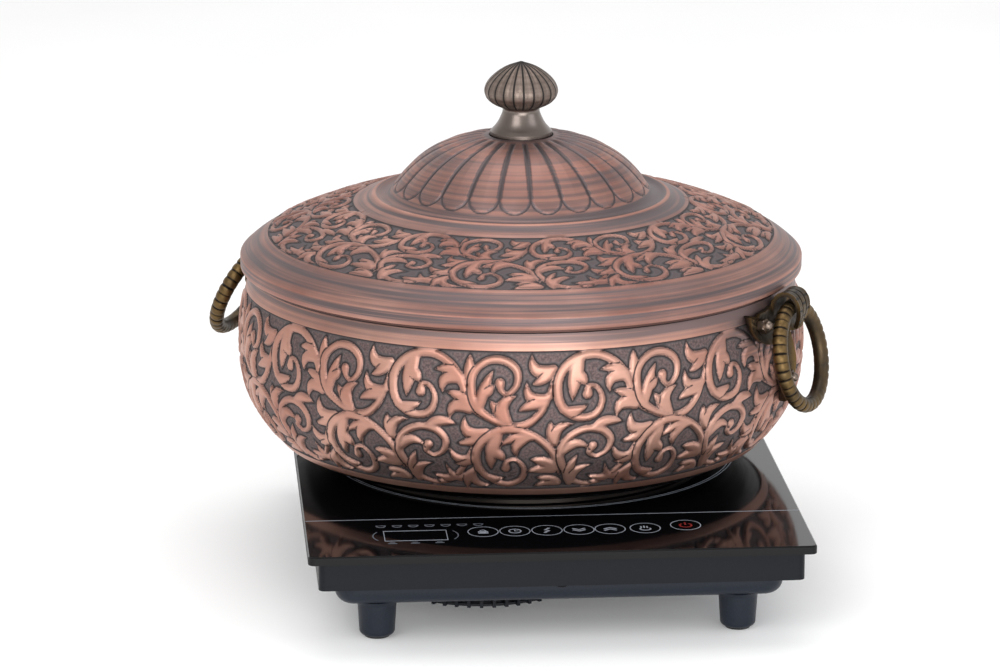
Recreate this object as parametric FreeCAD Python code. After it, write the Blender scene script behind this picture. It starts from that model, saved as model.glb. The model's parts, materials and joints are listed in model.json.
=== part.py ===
import FreeCAD, Part
import math
import os
from FreeCAD import Placement, Rotation, Vector

# A lidded copper soup pot with two ring handles, standing on a single-zone induction heater.
# Millimetres, +Z up. The origin is on the table, at the middle of the whole set's outline.

# Heater: overall
hob_width = 290.0
hob_depth = 350.0
hob_height = 59.0
glass_thickness = 5.0
glass_corner = 4.0
housing_inset = 6.0
housing_height = 17.0
housing_wall = 2.5
housing_ledge = 16.0
tub_inset = 10.0
tub_depth = 13.0
tub_wall = 2.2
tub_corner = 12.0
flange_thickness = 2.0
tub_round = 7.8
glass_bevel = 0.8
edge_round = 0.8
fit_gap = 0.3

# Heater: feet and screws
foot_spacing_x = 209.0
foot_from_edge = 37.0
foot_top_radius = 11.3
foot_low_radius = 10.3
foot_flare = 4.5
foot_round = 3.0
foot_above_table = 1.2
pad_radius = 7.5
pad_recess = 2.5
pad_fit = 0.05
screw_radius = 1.75
screw_head_radius = 3.4
screw_head_height = 2.0
screw_bite = 3.5
screw_fit = 0.02
boss_wall = 1.6
boss_pilot = 8.0
housing_screw_length = 9.0
foot_screw_length = 11.0
foot_pilot = 12.0
hole_clearance = 0.2
stud_fit = 0.05

# Heater: fan, its guard and the air outlet
fan_left_of_centre = 41.0
fan_from_front = 84.0
guard_radius = 54.0
guard_drop = 7.0
guard_rib_count = 46
guard_rib_width = 1.9
guard_rib_out = 1.4
guard_ring_radii = (25.0, 36.0, 47.0)
guard_ring_width = 1.4
guard_rib_depth = 2.2
guard_ring_lift = 0.6
guard_ring_height = 2.8
guard_hoop_wall = 1.6
guard_hoop_height = 1.5
guard_hub_radius = 14.0
guard_hub_height = 2.4
guard_mouth_inset = 3.0
fan_radius = 43.0
fan_hub_radius = 18.0
fan_height = 10.0
fan_blade_count = 7
fan_blade_thickness = 1.4
fan_blade_pitch = 38.0
fan_shaft_radius = 1.5
fan_shaft_clearance = 0.05
fan_above_floor = 2.5
fan_arm_width = 6.0
fan_arm_thickness = 2.0
fan_arm_clearance = 1.5
fan_post_outside = 5.0
fan_hub_wall = 2.2
fan_hub_floor = 3.4
fan_motor_cap = 3.0
fan_stator_inset = 5.0
outlet_slot_count = 16
outlet_slot_width = 3.0
outlet_slot_height = 8.0
outlet_slot_pitch = 7.0
outlet_first_right = -16.0

# Heater: coil
zone_from_front = 209.0
coil_inner_radius = 27.0
coil_turns = 14
coil_wire_radius = 2.0
coil_pitch = 4.3
coil_below_glass = 1.6
carrier_thickness = 2.4
carrier_rim = 4.0
carrier_rim_width = 8.0
carrier_lip = 1.6
carrier_lip_height = 3.0
carrier_hub_width = 6.0
carrier_arm_side = 2.0
carrier_bridge_width = 10.0
carrier_post_outside = 4.0
carrier_arm_count = 6
ferrite_from_coil = 8.0
ferrite_size = (46.0, 12.0, 4.0)
insulation_thickness = 0.8
sensor_radius = 7.0
sensor_cap_height = 2.5
sensor_stem_radius = 3.0
sensor_shoulder_radius = 5.0
sensor_stem_below = 3.0

# Heater: boards
board_thickness = 1.6
power_board_size = (100.0, 84.0)
power_board_right = 74.0
power_board_from_front = 68.0
heat_sink_place = (-22.0, 18.0)
heat_sink_size = (40.0, 34.0, 12.0)
heat_sink_base = 3.0
heat_sink_fins = 8
heat_sink_gap = 2.6
transistor_size = (15.0, 5.0, 11.0)
transistor_places = ((-32.0, -1.6), (-14.0, -1.6))
capacitor_sizes = ((26.0, 12.0, 11.0), (26.0, 12.0, 11.0), (18.0, 9.0, 9.0))
capacitor_places = ((20.0, 24.0), (20.0, 6.0), (-10.0, -22.0))
choke_place = (22.0, -18.0)
choke_radii = (7.5, 3.6)
board_post = 4.0
board_post_radius = 3.2
board_hole_from_edge = 5.0
capacitor_round = 1.0
control_board_size = (214.0, 48.0)
control_board_from_front = 43.0
control_below_glass = 5.4
display_size = (37.0, 17.5)
display_left = 82.3
display_from_front = 38.4
key_first = -43.0
key_pitch = 18.5
key_count = 5
key_last_offsets = (50.8, 74.7)
key_from_front = 42.6
key_spring_radius = 4.0
key_spring_wire = 0.7
display_gap = 0.4
gland_radius = 5.5
gland_length = 12.0
gland_left = 95.0
gland_clip = 0.5
gland_collar = 1.2
gland_bore = 3.2
gland_collar_width = 2.0
gland_collar_round = 0.7

# Pot: where it stands, and its wall line as radius and height above the glass
pot_x = 4.5
pot_y = 18.2
pot_left_of_hob = 7.4
pot_ahead_of_hob_front = 206.9
pot_line = [(117.5, 3.2), (132.8, 8.0), (144.8, 14.2), (152.3, 22.5),
            (165.7, 44.0), (170.4, 76.0), (168.3, 98.0), (163.2, 117.0)]
jacket_bottom = 16.5
jacket_wall = 1.2
jacket_gap = 0.1
pan_wall = 1.5
base_disc_radius = 113.0
base_disc_height = 3.0
rim_top = 121.0
rim_width = 5.5
rim_round = 0.8

# Lid: wall line as radius and height above the glass
skirt_radius = 168.8
skirt_low = 119.8
skirt_lean = 0.4
skirt_top = 127.0
lid_flange = [(168.3, 128.2), (162.0, 133.2), (154.2, 138.0)]
lid_band = [(152.4, 139.6), (128.0, 149.6), (101.0, 157.8)]
lid_bead = [(90.6, 161.9), (88.0, 163.3), (85.4, 162.2)]
lid_dome = [(78.8, 163.4), (75.2, 168.4), (65.0, 179.8), (50.0, 189.9), (32.0, 195.9), (19.5, 198.2)]
lid_wall = 1.2
seat_lip_depth = 8.0
seat_lip_gap = 3.0
seat_wall = 1.2
seat_height = 5.0

# Knob on the lid: radius and height above the lid's top
knob_flange = [(18.5, 2.2), (17.0, 4.0)]
knob_neck = [(17.0, 4.0), (13.9, 7.9), (12.1, 11.6), (11.1, 15.3), (11.8, 17.0)]
knob_head = [(11.8, 17.0), (16.1, 18.9), (20.5, 22.6), (22.1, 26.6), (20.0, 33.5),
             (16.4, 37.2), (9.6, 41.4), (0.0, 44.0)]
stud_radius = 3.0
stud_in_head = 15.0
stud_below_lid = 8.5
washer_radius = 9.0
washer_thickness = 1.5
nut_flats = 10.0
nut_height = 5.0

# Ring handles and their brackets, seen from the pot's axis
handle_angles = {"right": -30.0, "left": 150.0}
ring_swing = {"right": 12.5, "left": 27.0}
ring_radius = 29.5
ring_wire_radius = 4.6
hinge_radius = 176.0
hinge_height = 110.5
ring_play = 2.1
eye_wall = 2.4
eye_width = 17.5
plate_thickness = 2.5
plate_gap = 0.1
bracket_core_above = 10.0
bracket_core_below = 4.0
plate_half_outline = [(0.0, 114.0), (8.75, 113.0), (12.0, 107.0), (22.0, 110.5), (34.0, 110.5),
                      (33.0, 97.0), (18.0, 88.5), (10.5, 79.0), (11.5, 66.0), (7.0, 56.0), (0.0, 50.0)]
bracket_screws = [(-26.5, 103.0), (26.5, 103.0), (0.0, 68.0)]
bolt_radius = 2.0
bolt_head_radius = 4.0
bolt_head_height = 2.2
bolt_head_round = 0.9
bolt_end_gap = 0.5
cap_nut_flats = 8.0
cap_nut_hex = 4.0
cap_nut_dome_radius = 3.0
cap_nut_height = 8.0
cap_nut_stand = 0.02

# Levels and centres that follow from the sizes above
glass_top_z = hob_height
glass_low_z = glass_top_z - glass_thickness
housing_low_z = glass_low_z - housing_height
tub_low_z = housing_low_z - tub_depth
floor_z = tub_low_z + tub_wall
hob_x = pot_x + pot_left_of_hob
hob_front = pot_y - pot_ahead_of_hob_front
hob_y = hob_front + hob_depth / 2
housing_width = hob_width - 2 * housing_inset
housing_depth = hob_depth - 2 * housing_inset
tub_width = housing_width - 2 * tub_inset
tub_length = housing_depth - 2 * tub_inset
zone_centre = (hob_x, hob_front + zone_from_front)
fan_centre = (hob_x - fan_left_of_centre, hob_front + fan_from_front)
coil_outer_radius = coil_inner_radius + coil_turns * coil_pitch + coil_wire_radius
coil_z = glass_low_z - insulation_thickness - coil_below_glass - coil_wire_radius
carrier_top_z = coil_z - coil_wire_radius - fit_gap
carrier_low_z = carrier_top_z - carrier_thickness
control_top_z = glass_low_z - control_below_glass
power_board_z = floor_z + board_post
foot_reach_y = hob_depth / 2 - foot_from_edge
lid_top = lid_dome[-1][1]
eye_bore = ring_wire_radius + ring_play
nodes = {}


# Shape helpers

def cylinder(radius, x, y, low, high):
    return Part.makeCylinder(radius, high - low, Vector(x, y, low))


def block(width, depth, x, y, low, high):
    return Part.makeBox(width, depth, high - low, Vector(x - width / 2, y - depth / 2, low))


def rounded_block(width, depth, x, y, low, high, corner):
    solid = block(width, depth, x, y, low, high)
    upright = [e for e in solid.Edges if abs(e.Vertexes[0].Z - e.Vertexes[-1].Z) > (high - low) / 2]
    return solid.makeFillet(corner, upright)


def tube(outer, inner, x, y, low, high):
    return cylinder(outer, x, y, low, high).cut(cylinder(inner, x, y, low - 1, high + 1))


def fuse_all(solids):
    first = solids[0]
    return first.multiFuse(solids[1:]).removeSplitter() if len(solids) > 1 else first


def at(point):
    """A point of a turned profile, given as radius and height."""
    return Vector(point[0], 0, point[1])


def line(a, b):
    return Part.makeLine(at(a), at(b))


def curve(points):
    bspline = Part.BSplineCurve()
    bspline.interpolate([at(p) for p in points])
    return bspline.toShape()


def turned(edges):
    face = Part.Face(Part.Wire(Part.sortEdges(edges)[0]))
    return face.revolve(Vector(0, 0, 0), Vector(0, 0, 1), 360)


def chain(points):
    return [line(a, b) for a, b in zip(points, points[1:])]


def polygon_turned(points):
    return turned(chain(points + points[:1]))


def raised(points, level):
    return [(r, z + level) for r, z in points]


def shifted(points, distance):
    """The points of a wall line moved square to it; positive is outwards, away from the axis."""
    moved = []
    for i, (r, z) in enumerate(points):
        ahead = points[min(i + 1, len(points) - 1)]
        behind = points[max(i - 1, 0)]
        along = Vector(ahead[0] - behind[0], ahead[1] - behind[1], 0).normalize()
        moved.append((r + along.y * distance, z - along.x * distance))
    return moved


# The pot's wall line, which the jacket, the pan and the handle plates all follow

wall_curve = Part.BSplineCurve()
wall_curve.interpolate([at(p) for p in raised(pot_line, glass_top_z)])
jacket_top = pot_line[-1][1]


def wall_parameter(height):
    low, high = wall_curve.FirstParameter, wall_curve.LastParameter
    for _ in range(50):
        middle = (low + high) / 2
        if wall_curve.value(middle).z < glass_top_z + height:
            low = middle
        else:
            high = middle
    return (low + high) / 2


def wall_normal(height):
    along = wall_curve.tangent(wall_parameter(height))[0]
    return Vector(along.z, 0, -along.x)


def wall_line(low, high, offset, count=14):
    """Points along the wall between two heights above the glass, offset square to the wall."""
    first, last = wall_parameter(low), wall_parameter(high)
    points = []
    for i in range(count):
        u = first + (last - first) * i / (count - 1)
        along = wall_curve.tangent(u)[0]
        point = wall_curve.value(u) + Vector(along.z, 0, -along.x) * offset
        points.append((point.x, point.z))
    return points


def wall_shell(low, high, inner, outer):
    inside = wall_line(low, high, inner)
    outside = wall_line(low, high, outer)
    return turned([curve(outside), curve(inside), line(outside[0], inside[0]), line(outside[-1], inside[-1])])


# Heater: glass, housings, feet

def make_glass_top():
    plate = rounded_block(hob_width, hob_depth, hob_x, hob_y, glass_low_z, glass_top_z, glass_corner)
    rim = [e for e in plate.Edges if e.BoundBox.ZMin > glass_top_z - 0.01]
    return plate.makeChamfer(glass_bevel, rim)


def foot_places():
    return [(hob_x + sx * foot_spacing_x / 2, hob_y + sy * foot_reach_y) for sx in (-1, 1) for sy in (-1, 1)]


def housing_screw_places():
    reach_x = tub_width / 2 + tub_inset / 2 - housing_wall / 2
    reach_y = tub_length / 2 + tub_inset / 2 - housing_wall / 2
    corners = [(hob_x + sx * reach_x, hob_y + sy * reach_y * 0.8) for sx in (-1, 1) for sy in (-1, 1)]
    return corners + [(hob_x, hob_y - reach_y), (hob_x, hob_y + reach_y)]


def make_upper_housing():
    outer = rounded_block(housing_width, housing_depth, hob_x, hob_y, housing_low_z, glass_low_z, glass_corner)
    ceiling = glass_low_z - housing_wall
    inner = block(housing_width - 2 * housing_wall, housing_depth - 2 * housing_wall,
                  hob_x, hob_y, housing_low_z - 1, ceiling)
    window = block(housing_width - 2 * housing_ledge, housing_depth - 2 * housing_ledge,
                   hob_x, hob_y, ceiling - 1, glass_low_z + 1)
    shell = outer.cut(inner).cut(window)
    boss_low = housing_low_z + flange_thickness
    bosses = [cylinder(screw_radius + boss_wall, x, y, boss_low, ceiling) for x, y in housing_screw_places()]
    shell = fuse_all([shell] + bosses)
    pilot = [cylinder(screw_radius, x, y, boss_low - 1, boss_low + boss_pilot)
             for x, y in housing_screw_places()]
    back = hob_y + housing_depth / 2
    middle_z = (housing_low_z + flange_thickness + ceiling) / 2
    slots = []
    for i in range(outlet_slot_count):
        x = hob_x + outlet_first_right + i * outlet_slot_pitch
        slots.append(block(outlet_slot_width, 4 * housing_wall, x, back,
                           middle_z - outlet_slot_height / 2, middle_z + outlet_slot_height / 2))
    entry = Part.makeCylinder(gland_radius, 4 * housing_wall,
                              Vector(hob_x - gland_left, back - 2 * housing_wall, middle_z), Vector(0, 1, 0))
    return shell.cut(Part.makeCompound(pilot + slots + [entry]))


def board_posts():
    half_x = power_board_size[0] / 2 - board_hole_from_edge
    half_y = power_board_size[1] / 2 - board_hole_from_edge
    centre = (hob_x + power_board_right, hob_front + power_board_from_front)
    return [(centre[0] + sx * half_x, centre[1] + sy * half_y) for sx in (-1, 1) for sy in (-1, 1)]


def around(centre, reach, angles):
    """Points at the given angles round a centre."""
    turns = [math.radians(a) for a in angles]
    return [(centre[0] + reach * math.cos(a), centre[1] + reach * math.sin(a)) for a in turns]


def carrier_posts():
    reach = coil_outer_radius + carrier_rim + carrier_post_outside
    return around(zone_centre, reach, (30, 150, 270))


def fan_posts():
    return around(fan_centre, fan_radius + fan_post_outside, (60, 180, 300))


def fan_arm_z():
    return floor_z + fan_above_floor + fan_height + fan_arm_clearance


def screw_hole(place, low, high):
    """A clearance hole that passes right through a wall between two levels."""
    return cylinder(screw_radius + hole_clearance, place[0], place[1], low - 1, high + 1)


def make_lower_housing():
    outer = rounded_block(tub_width, tub_length, hob_x, hob_y, tub_low_z, housing_low_z + 0.5, tub_corner)
    low_rim = [e for e in outer.Edges if e.BoundBox.ZMax < tub_low_z + 0.01]
    outer = outer.makeFillet(tub_round, low_rim)
    inset = 2 * (housing_wall + fit_gap)
    flange = rounded_block(housing_width - inset, housing_depth - inset, hob_x, hob_y,
                           housing_low_z, housing_low_z + flange_thickness, glass_corner)
    inner = rounded_block(tub_width - 2 * tub_wall, tub_length - 2 * tub_wall, hob_x, hob_y,
                          floor_z, housing_low_z + flange_thickness + 1, tub_corner - tub_wall)
    inner_rim = [e for e in inner.Edges if e.BoundBox.ZMax < floor_z + 0.01]
    inner = inner.makeFillet(tub_round - tub_wall, inner_rim)
    shell = fuse_all([outer, flange]).cut(inner)
    posts = [cylinder(board_post_radius, x, y, floor_z - 0.5, power_board_z) for x, y in board_posts()]
    posts += [cylinder(board_post_radius, x, y, floor_z - 0.5, carrier_low_z) for x, y in carrier_posts()]
    posts += [cylinder(board_post_radius, x, y, floor_z - 0.5, fan_arm_z()) for x, y in fan_posts()]
    shell = fuse_all([shell] + posts)
    flange_high = housing_low_z + flange_thickness
    holes = [screw_hole(place, housing_low_z, flange_high) for place in housing_screw_places()]
    holes += [screw_hole(place, tub_low_z, floor_z) for place in foot_places()]
    mouth = guard_radius - guard_rib_out - guard_mouth_inset
    holes.append(cylinder(mouth, fan_centre[0], fan_centre[1], tub_low_z - 1, floor_z + 1))
    pilots = [(x, y, power_board_z) for x, y in board_posts()]
    pilots += [(x, y, carrier_low_z) for x, y in carrier_posts()]
    pilots += [(x, y, fan_arm_z()) for x, y in fan_posts()]
    holes += [cylinder(screw_radius, x, y, top - board_post, top + 1) for x, y, top in pilots]
    return shell.cut(Part.makeCompound(holes))


def screw(x, y, head_low, length, up):
    """A pan-head screw; its head sits on head_low and its shank runs down, or up for a screw from below."""
    sign = 1 if up else -1
    head = Part.makeCylinder(screw_head_radius, screw_head_height, Vector(x, y, head_low), Vector(0, 0, -sign))
    crown_z = head_low - sign * screw_head_height
    boxes = [(e, e.BoundBox) for e in head.Edges]
    crown = [e for e, box in boxes if abs(box.ZMin - crown_z) < 0.01 and abs(box.ZMax - crown_z) < 0.01]
    rounded = head.makeFillet(edge_round, crown)
    shank = Part.makeCylinder(screw_radius - screw_fit, length, Vector(x, y, head_low), Vector(0, 0, sign))
    return rounded.fuse(shank).removeSplitter()


def make_feet():
    feet = []
    low = foot_above_table
    profile = [(foot_low_radius - foot_round, low), (foot_low_radius, low + foot_round)]
    top = (foot_top_radius, tub_low_z - foot_flare)
    flare = (foot_top_radius + foot_flare, tub_low_z)
    halfway = 1 - math.cos(math.pi / 4)
    bend = (foot_low_radius - foot_round * halfway, low + foot_round * halfway)
    flare_middle = (foot_top_radius + foot_flare * halfway, tub_low_z - foot_flare * halfway)
    edges = [line((0, low), profile[0]),
             Part.Arc(at(profile[0]), at(bend), at(profile[1])).toShape(),
             line(profile[1], top),
             Part.Arc(at(top), at(flare_middle), at(flare)).toShape(),
             line(flare, (0, tub_low_z)),
             line((0, tub_low_z), (0, low))]
    foot = turned(edges)
    foot = foot.cut(cylinder(pad_radius, 0, 0, low - 1, low + pad_recess))
    foot = foot.cut(cylinder(screw_radius, 0, 0, tub_low_z - foot_pilot, tub_low_z + 1))
    for x, y in foot_places():
        feet.append(foot.translated(Vector(x, y, 0)))
    return Part.makeCompound(feet)


def make_foot_pads():
    pads = []
    for x, y in foot_places():
        pad = cylinder(pad_radius - pad_fit, x, y, 0, foot_above_table + pad_recess)
        pads.append(pad.makeFillet(edge_round, [e for e in pad.Edges if e.BoundBox.ZMax < 0.01]))
    return Part.makeCompound(pads)


# Heater: fan guard, fan and air path

def make_fan_guard():
    """An open basket: radial ribs that turn up at the rim, carried by rings and two hoops."""
    x, y = fan_centre
    low = tub_low_z - guard_drop
    ring_low = low + guard_ring_lift
    solids = [cylinder(guard_hub_radius, x, y, ring_low, ring_low + guard_hub_height)]
    for radius in guard_ring_radii:
        half = guard_ring_width / 2
        solids.append(tube(radius + half, radius - half, x, y, ring_low, ring_low + guard_ring_height))
    outer = guard_radius - guard_rib_out
    for hoop_low in (ring_low, tub_low_z - guard_hoop_height):
        solids.append(tube(outer, outer - guard_hoop_wall, x, y, hoop_low, hoop_low + guard_hoop_height))
    rib_start = guard_hub_radius - 1
    floor_rib = Part.makeBox(guard_radius - rib_start, guard_rib_width, guard_rib_depth,
                             Vector(rib_start, -guard_rib_width / 2, low))
    upright = guard_rib_out + guard_hoop_wall
    side_rib = Part.makeBox(upright, guard_rib_width, guard_drop,
                            Vector(guard_radius - upright, -guard_rib_width / 2, low))
    rib = floor_rib.fuse(side_rib).removeSplitter()
    for i in range(guard_rib_count):
        turned_rib = rib.copy()
        turned_rib.rotate(Vector(0, 0, 0), Vector(0, 0, 1), 360.0 * i / guard_rib_count)
        solids.append(turned_rib.translated(Vector(x, y, 0)))
    return fuse_all(solids)


def make_fan_motor():
    x, y = fan_centre
    low = fan_arm_z()
    cap = cylinder(fan_hub_radius - fan_hub_wall, x, y, low, low + fan_motor_cap)
    arms = [cylinder(board_post_radius + 1, px, py, low, low + fan_arm_thickness) for px, py in fan_posts()]
    for px, py in fan_posts():
        reach = math.hypot(px - x, py - y)
        arm = Part.makeBox(reach, fan_arm_width, fan_arm_thickness, Vector(0, -fan_arm_width / 2, low))
        arm.rotate(Vector(0, 0, 0), Vector(0, 0, 1), math.degrees(math.atan2(py - y, px - x)))
        arms.append(arm.translated(Vector(x, y, 0)))
    stator = cylinder(fan_hub_radius - fan_stator_inset, x, y, low - fan_height + fan_stator_inset, low + 1)
    shaft = cylinder(fan_shaft_radius, x, y, low - fan_height - 0.5, low)
    body = fuse_all([cap, stator, shaft] + arms)
    holes = [screw_hole(place, low, low + fan_motor_cap) for place in fan_posts()]
    return body.cut(Part.makeCompound(holes))


def make_fan_rotor():
    x, y = fan_centre
    low = floor_z + fan_above_floor
    high = low + fan_height
    hub = cylinder(fan_hub_radius, 0, 0, low, high)
    hub = hub.cut(cylinder(fan_hub_radius - fan_hub_wall, 0, 0, low + fan_hub_floor, high + 1))
    blades = []
    for i in range(fan_blade_count):
        blade = Part.makeBox(fan_radius - fan_hub_radius + 3, fan_blade_thickness, 26,
                             Vector(fan_hub_radius - 1.5, -fan_blade_thickness / 2, -13))
        blade.rotate(Vector(0, 0, 0), Vector(1, 0, 0), fan_blade_pitch)
        blade.translate(Vector(0, 0, (low + high) / 2))
        blade.rotate(Vector(0, 0, 0), Vector(0, 0, 1), 360.0 * i / fan_blade_count)
        blades.append(blade)
    swept = tube(fan_radius, fan_hub_radius - 1.0, 0, 0, low + 0.5, high - 0.5)
    rotor = fuse_all([hub] + [b.common(swept) for b in blades])
    rotor = rotor.cut(cylinder(fan_shaft_radius + fan_shaft_clearance, 0, 0, low - 1, high + 1))
    return rotor.translated(Vector(x, y, 0))


# Heater: coil set

def make_induction_coil():
    """A flat winding drawn as a run of half circles, each starting where the last one ends."""
    x, y = zone_centre
    start = Vector(x + coil_inner_radius + coil_wire_radius, y, coil_z)
    edges = []
    radius = coil_inner_radius + coil_wire_radius
    centre = x
    side = 1
    for _ in range(2 * coil_turns - 1):
        end = Vector(centre - side * radius, y, coil_z)
        top = Vector(centre, y + side * radius, coil_z)
        edges.append(Part.Arc(start, top, end).toShape())
        start = end
        centre += side * coil_pitch / 2
        radius += coil_pitch / 2
        side = -side
    path = Part.Wire(edges)
    section = Part.Wire(Part.makeCircle(coil_wire_radius, path.Edges[0].Vertexes[0].Point, Vector(0, 1, 0)))
    return path.makePipeShell([section], True, True)


def make_coil_carrier():
    x, y = zone_centre
    outer = coil_outer_radius + carrier_rim
    hub = coil_inner_radius
    low, high = carrier_low_z, carrier_top_z
    solids = [tube(outer, outer - carrier_rim_width, x, y, low, high),
              tube(hub + carrier_hub_width, hub - carrier_hub_width, x, y, low, high),
              tube(outer, outer - carrier_lip, x, y, low, high + carrier_lip_height)]
    arm_width = ferrite_size[1] + 2 * carrier_arm_side
    for i in range(carrier_arm_count):
        arm = Part.makeBox(outer - coil_inner_radius, arm_width, high - low,
                           Vector(coil_inner_radius - 2, -arm_width / 2, low))
        arm.rotate(Vector(0, 0, 0), Vector(0, 0, 1), 360.0 * i / carrier_arm_count)
        solids.append(arm.translated(Vector(x, y, 0)))
    for px, py in carrier_posts():
        solids.append(cylinder(board_post_radius + 2, px, py, low, high))
    solids.append(block(2 * (coil_inner_radius - 3), carrier_bridge_width, x, y, low, high))
    body = fuse_all(solids)
    holes = [screw_hole(place, low, high) for place in carrier_posts()]
    holes.append(cylinder(sensor_stem_radius + hole_clearance, x, y, low - 1, high + 1))
    return body.cut(Part.makeCompound(holes))


def make_ferrite_bars():
    x, y = zone_centre
    bars = []
    length, width, height = ferrite_size
    for i in range(carrier_arm_count):
        start = Vector(coil_inner_radius + ferrite_from_coil, -width / 2, carrier_low_z - height)
        bar = Part.makeBox(length, width, height, start)
        bar.rotate(Vector(0, 0, 0), Vector(0, 0, 1), 360.0 * i / carrier_arm_count)
        bars.append(bar.translated(Vector(x, y, 0)))
    return Part.makeCompound(bars)


def make_insulation_sheet():
    x, y = zone_centre
    high = glass_low_z
    return tube(coil_outer_radius + 1, sensor_radius + 2, x, y, high - insulation_thickness, high)


def make_thermal_sensor():
    x, y = zone_centre
    cap = cylinder(sensor_radius, x, y, glass_low_z - sensor_cap_height, glass_low_z)
    stem = cylinder(sensor_stem_radius, x, y, carrier_low_z - sensor_stem_below, glass_low_z - 1)
    shoulder = cylinder(sensor_shoulder_radius, x, y, carrier_top_z, glass_low_z - sensor_cap_height / 2)
    return fuse_all([cap, stem, shoulder])


# Heater: boards and what stands on them

def make_power_board():
    centre = (hob_x + power_board_right, hob_front + power_board_from_front)
    board = block(power_board_size[0], power_board_size[1], centre[0], centre[1],
                  power_board_z, power_board_z + board_thickness)
    holes = [screw_hole(place, power_board_z, power_board_z + board_thickness) for place in board_posts()]
    return board.cut(Part.makeCompound(holes))


def on_power_board(x, y):
    return hob_x + power_board_right + x, hob_front + power_board_from_front + y


def make_heat_sink():
    x, y = on_power_board(*heat_sink_place)
    low = power_board_z + board_thickness
    width, depth, height = heat_sink_size
    sink = block(width, depth, x, y, low, low + height)
    pitch = (width + heat_sink_gap) / heat_sink_fins
    first = x - width / 2 + pitch - heat_sink_gap / 2
    gaps = [block(heat_sink_gap, depth + 2, first + pitch * i, y, low + heat_sink_base, low + height + 1)
            for i in range(heat_sink_fins - 1)]
    return sink.cut(Part.makeCompound(gaps))


def make_power_transistors():
    low = power_board_z + board_thickness
    width, depth, height = transistor_size
    places = [on_power_board(x, y) for x, y in transistor_places]
    return Part.makeCompound([block(width, depth, x, y, low, low + height) for x, y in places])


def make_filter_capacitors():
    low = power_board_z + board_thickness
    pieces = []
    for place, (width, depth, height) in zip(capacitor_places, capacitor_sizes):
        x, y = on_power_board(*place)
        body = block(width, depth, x, y, low, low + height)
        top_edges = [e for e in body.Edges if e.BoundBox.ZMin > low + height - 0.01]
        pieces.append(body.makeFillet(capacitor_round, top_edges))
    return Part.makeCompound(pieces)


def make_input_choke():
    x, y = on_power_board(*choke_place)
    ring, section = choke_radii
    centre = Vector(x, y, power_board_z + board_thickness + section)
    return Part.makeTorus(ring, section, centre, Vector(0, 0, 1))


def control_centre():
    return hob_x, hob_front + control_board_from_front


def make_control_board():
    x, y = control_centre()
    width, depth = control_board_size
    return block(width, depth, x, y, control_top_z - board_thickness, control_top_z)


def key_places():
    offsets = [key_first + key_pitch * i for i in range(key_count)] + list(key_last_offsets)
    return [(hob_x + dx, hob_front + key_from_front) for dx in offsets]


def make_touch_springs():
    springs = []
    for x, y in key_places():
        inner = key_spring_radius - key_spring_wire
        springs.append(tube(key_spring_radius, inner, x, y, control_top_z, glass_low_z))
    return Part.makeCompound(springs)


def make_display_module():
    x = hob_x - display_left
    y = hob_front + display_from_front
    return block(display_size[0], display_size[1], x, y, control_top_z, glass_low_z - display_gap)


def make_cord_gland():
    back = hob_y + housing_depth / 2
    z = (housing_low_z + flange_thickness + glass_low_z - housing_wall) / 2
    x = hob_x - gland_left
    along = Vector(0, 1, 0)
    inside = back - housing_wall
    barrel = Part.makeCylinder(gland_radius - stud_fit, gland_length + gland_collar_width,
                               Vector(x, inside - gland_length / 2, z), along)
    collar = Part.makeCylinder(gland_radius + gland_collar, gland_collar_width, Vector(x, back, z), along)
    front = [e for e in collar.Edges if e.BoundBox.YMin > back + gland_collar_width - 0.01]
    collar = collar.makeFillet(gland_collar_round, front)
    clip = Part.makeCylinder(gland_radius + gland_clip, gland_collar_width,
                             Vector(x, inside - gland_collar_width, z), along)
    bore = Part.makeCylinder(gland_bore, 3 * gland_length, Vector(x, inside - gland_length, z), along)
    return fuse_all([barrel, collar, clip]).cut(bore)


def make_screws():
    below = [screw(x, y, housing_low_z, housing_screw_length, True) for x, y in housing_screw_places()]
    nodes["housing_screws"] = Part.makeCompound(below)
    feet = [screw(x, y, floor_z, foot_screw_length, False) for x, y in foot_places()]
    nodes["foot_screws"] = Part.makeCompound(feet)
    board_top = power_board_z + board_thickness
    boards = [screw(x, y, board_top, board_thickness + screw_bite, False) for x, y in board_posts()]
    nodes["board_screws"] = Part.makeCompound(boards)
    coils = [screw(x, y, carrier_top_z, carrier_thickness + screw_bite, False) for x, y in carrier_posts()]
    nodes["coil_screws"] = Part.makeCompound(coils)
    arm_top = fan_arm_z() + fan_arm_thickness
    fans = [screw(x, y, arm_top, fan_arm_thickness + screw_bite, False) for x, y in fan_posts()]
    nodes["fan_screws"] = Part.makeCompound(fans)


# Pot: copper jacket, steel pan, base disc

def bracket_axes(side):
    """Where each bracket screw crosses the pot's wall line, and the way out along it."""
    axes = []
    for along, height in bracket_screws:
        point = wall_curve.value(wall_parameter(height))
        out = wall_normal(height)
        turn = Rotation(Vector(0, 0, 1), handle_angles[side] + math.degrees(along / point.x))
        axes.append((turn.multVec(point), turn.multVec(out)))
    return axes


def bracket_holes(radius):
    cuts = []
    for side in handle_angles:
        for point, out in bracket_axes(side):
            cuts.append(Part.makeCylinder(radius, 30, point - out * 15, out))
    return Part.makeCompound(cuts)


def make_pot_jacket():
    shell = wall_shell(jacket_bottom, jacket_top, -jacket_wall, 0)
    return shell.cut(bracket_holes(bolt_radius + hole_clearance))


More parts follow.
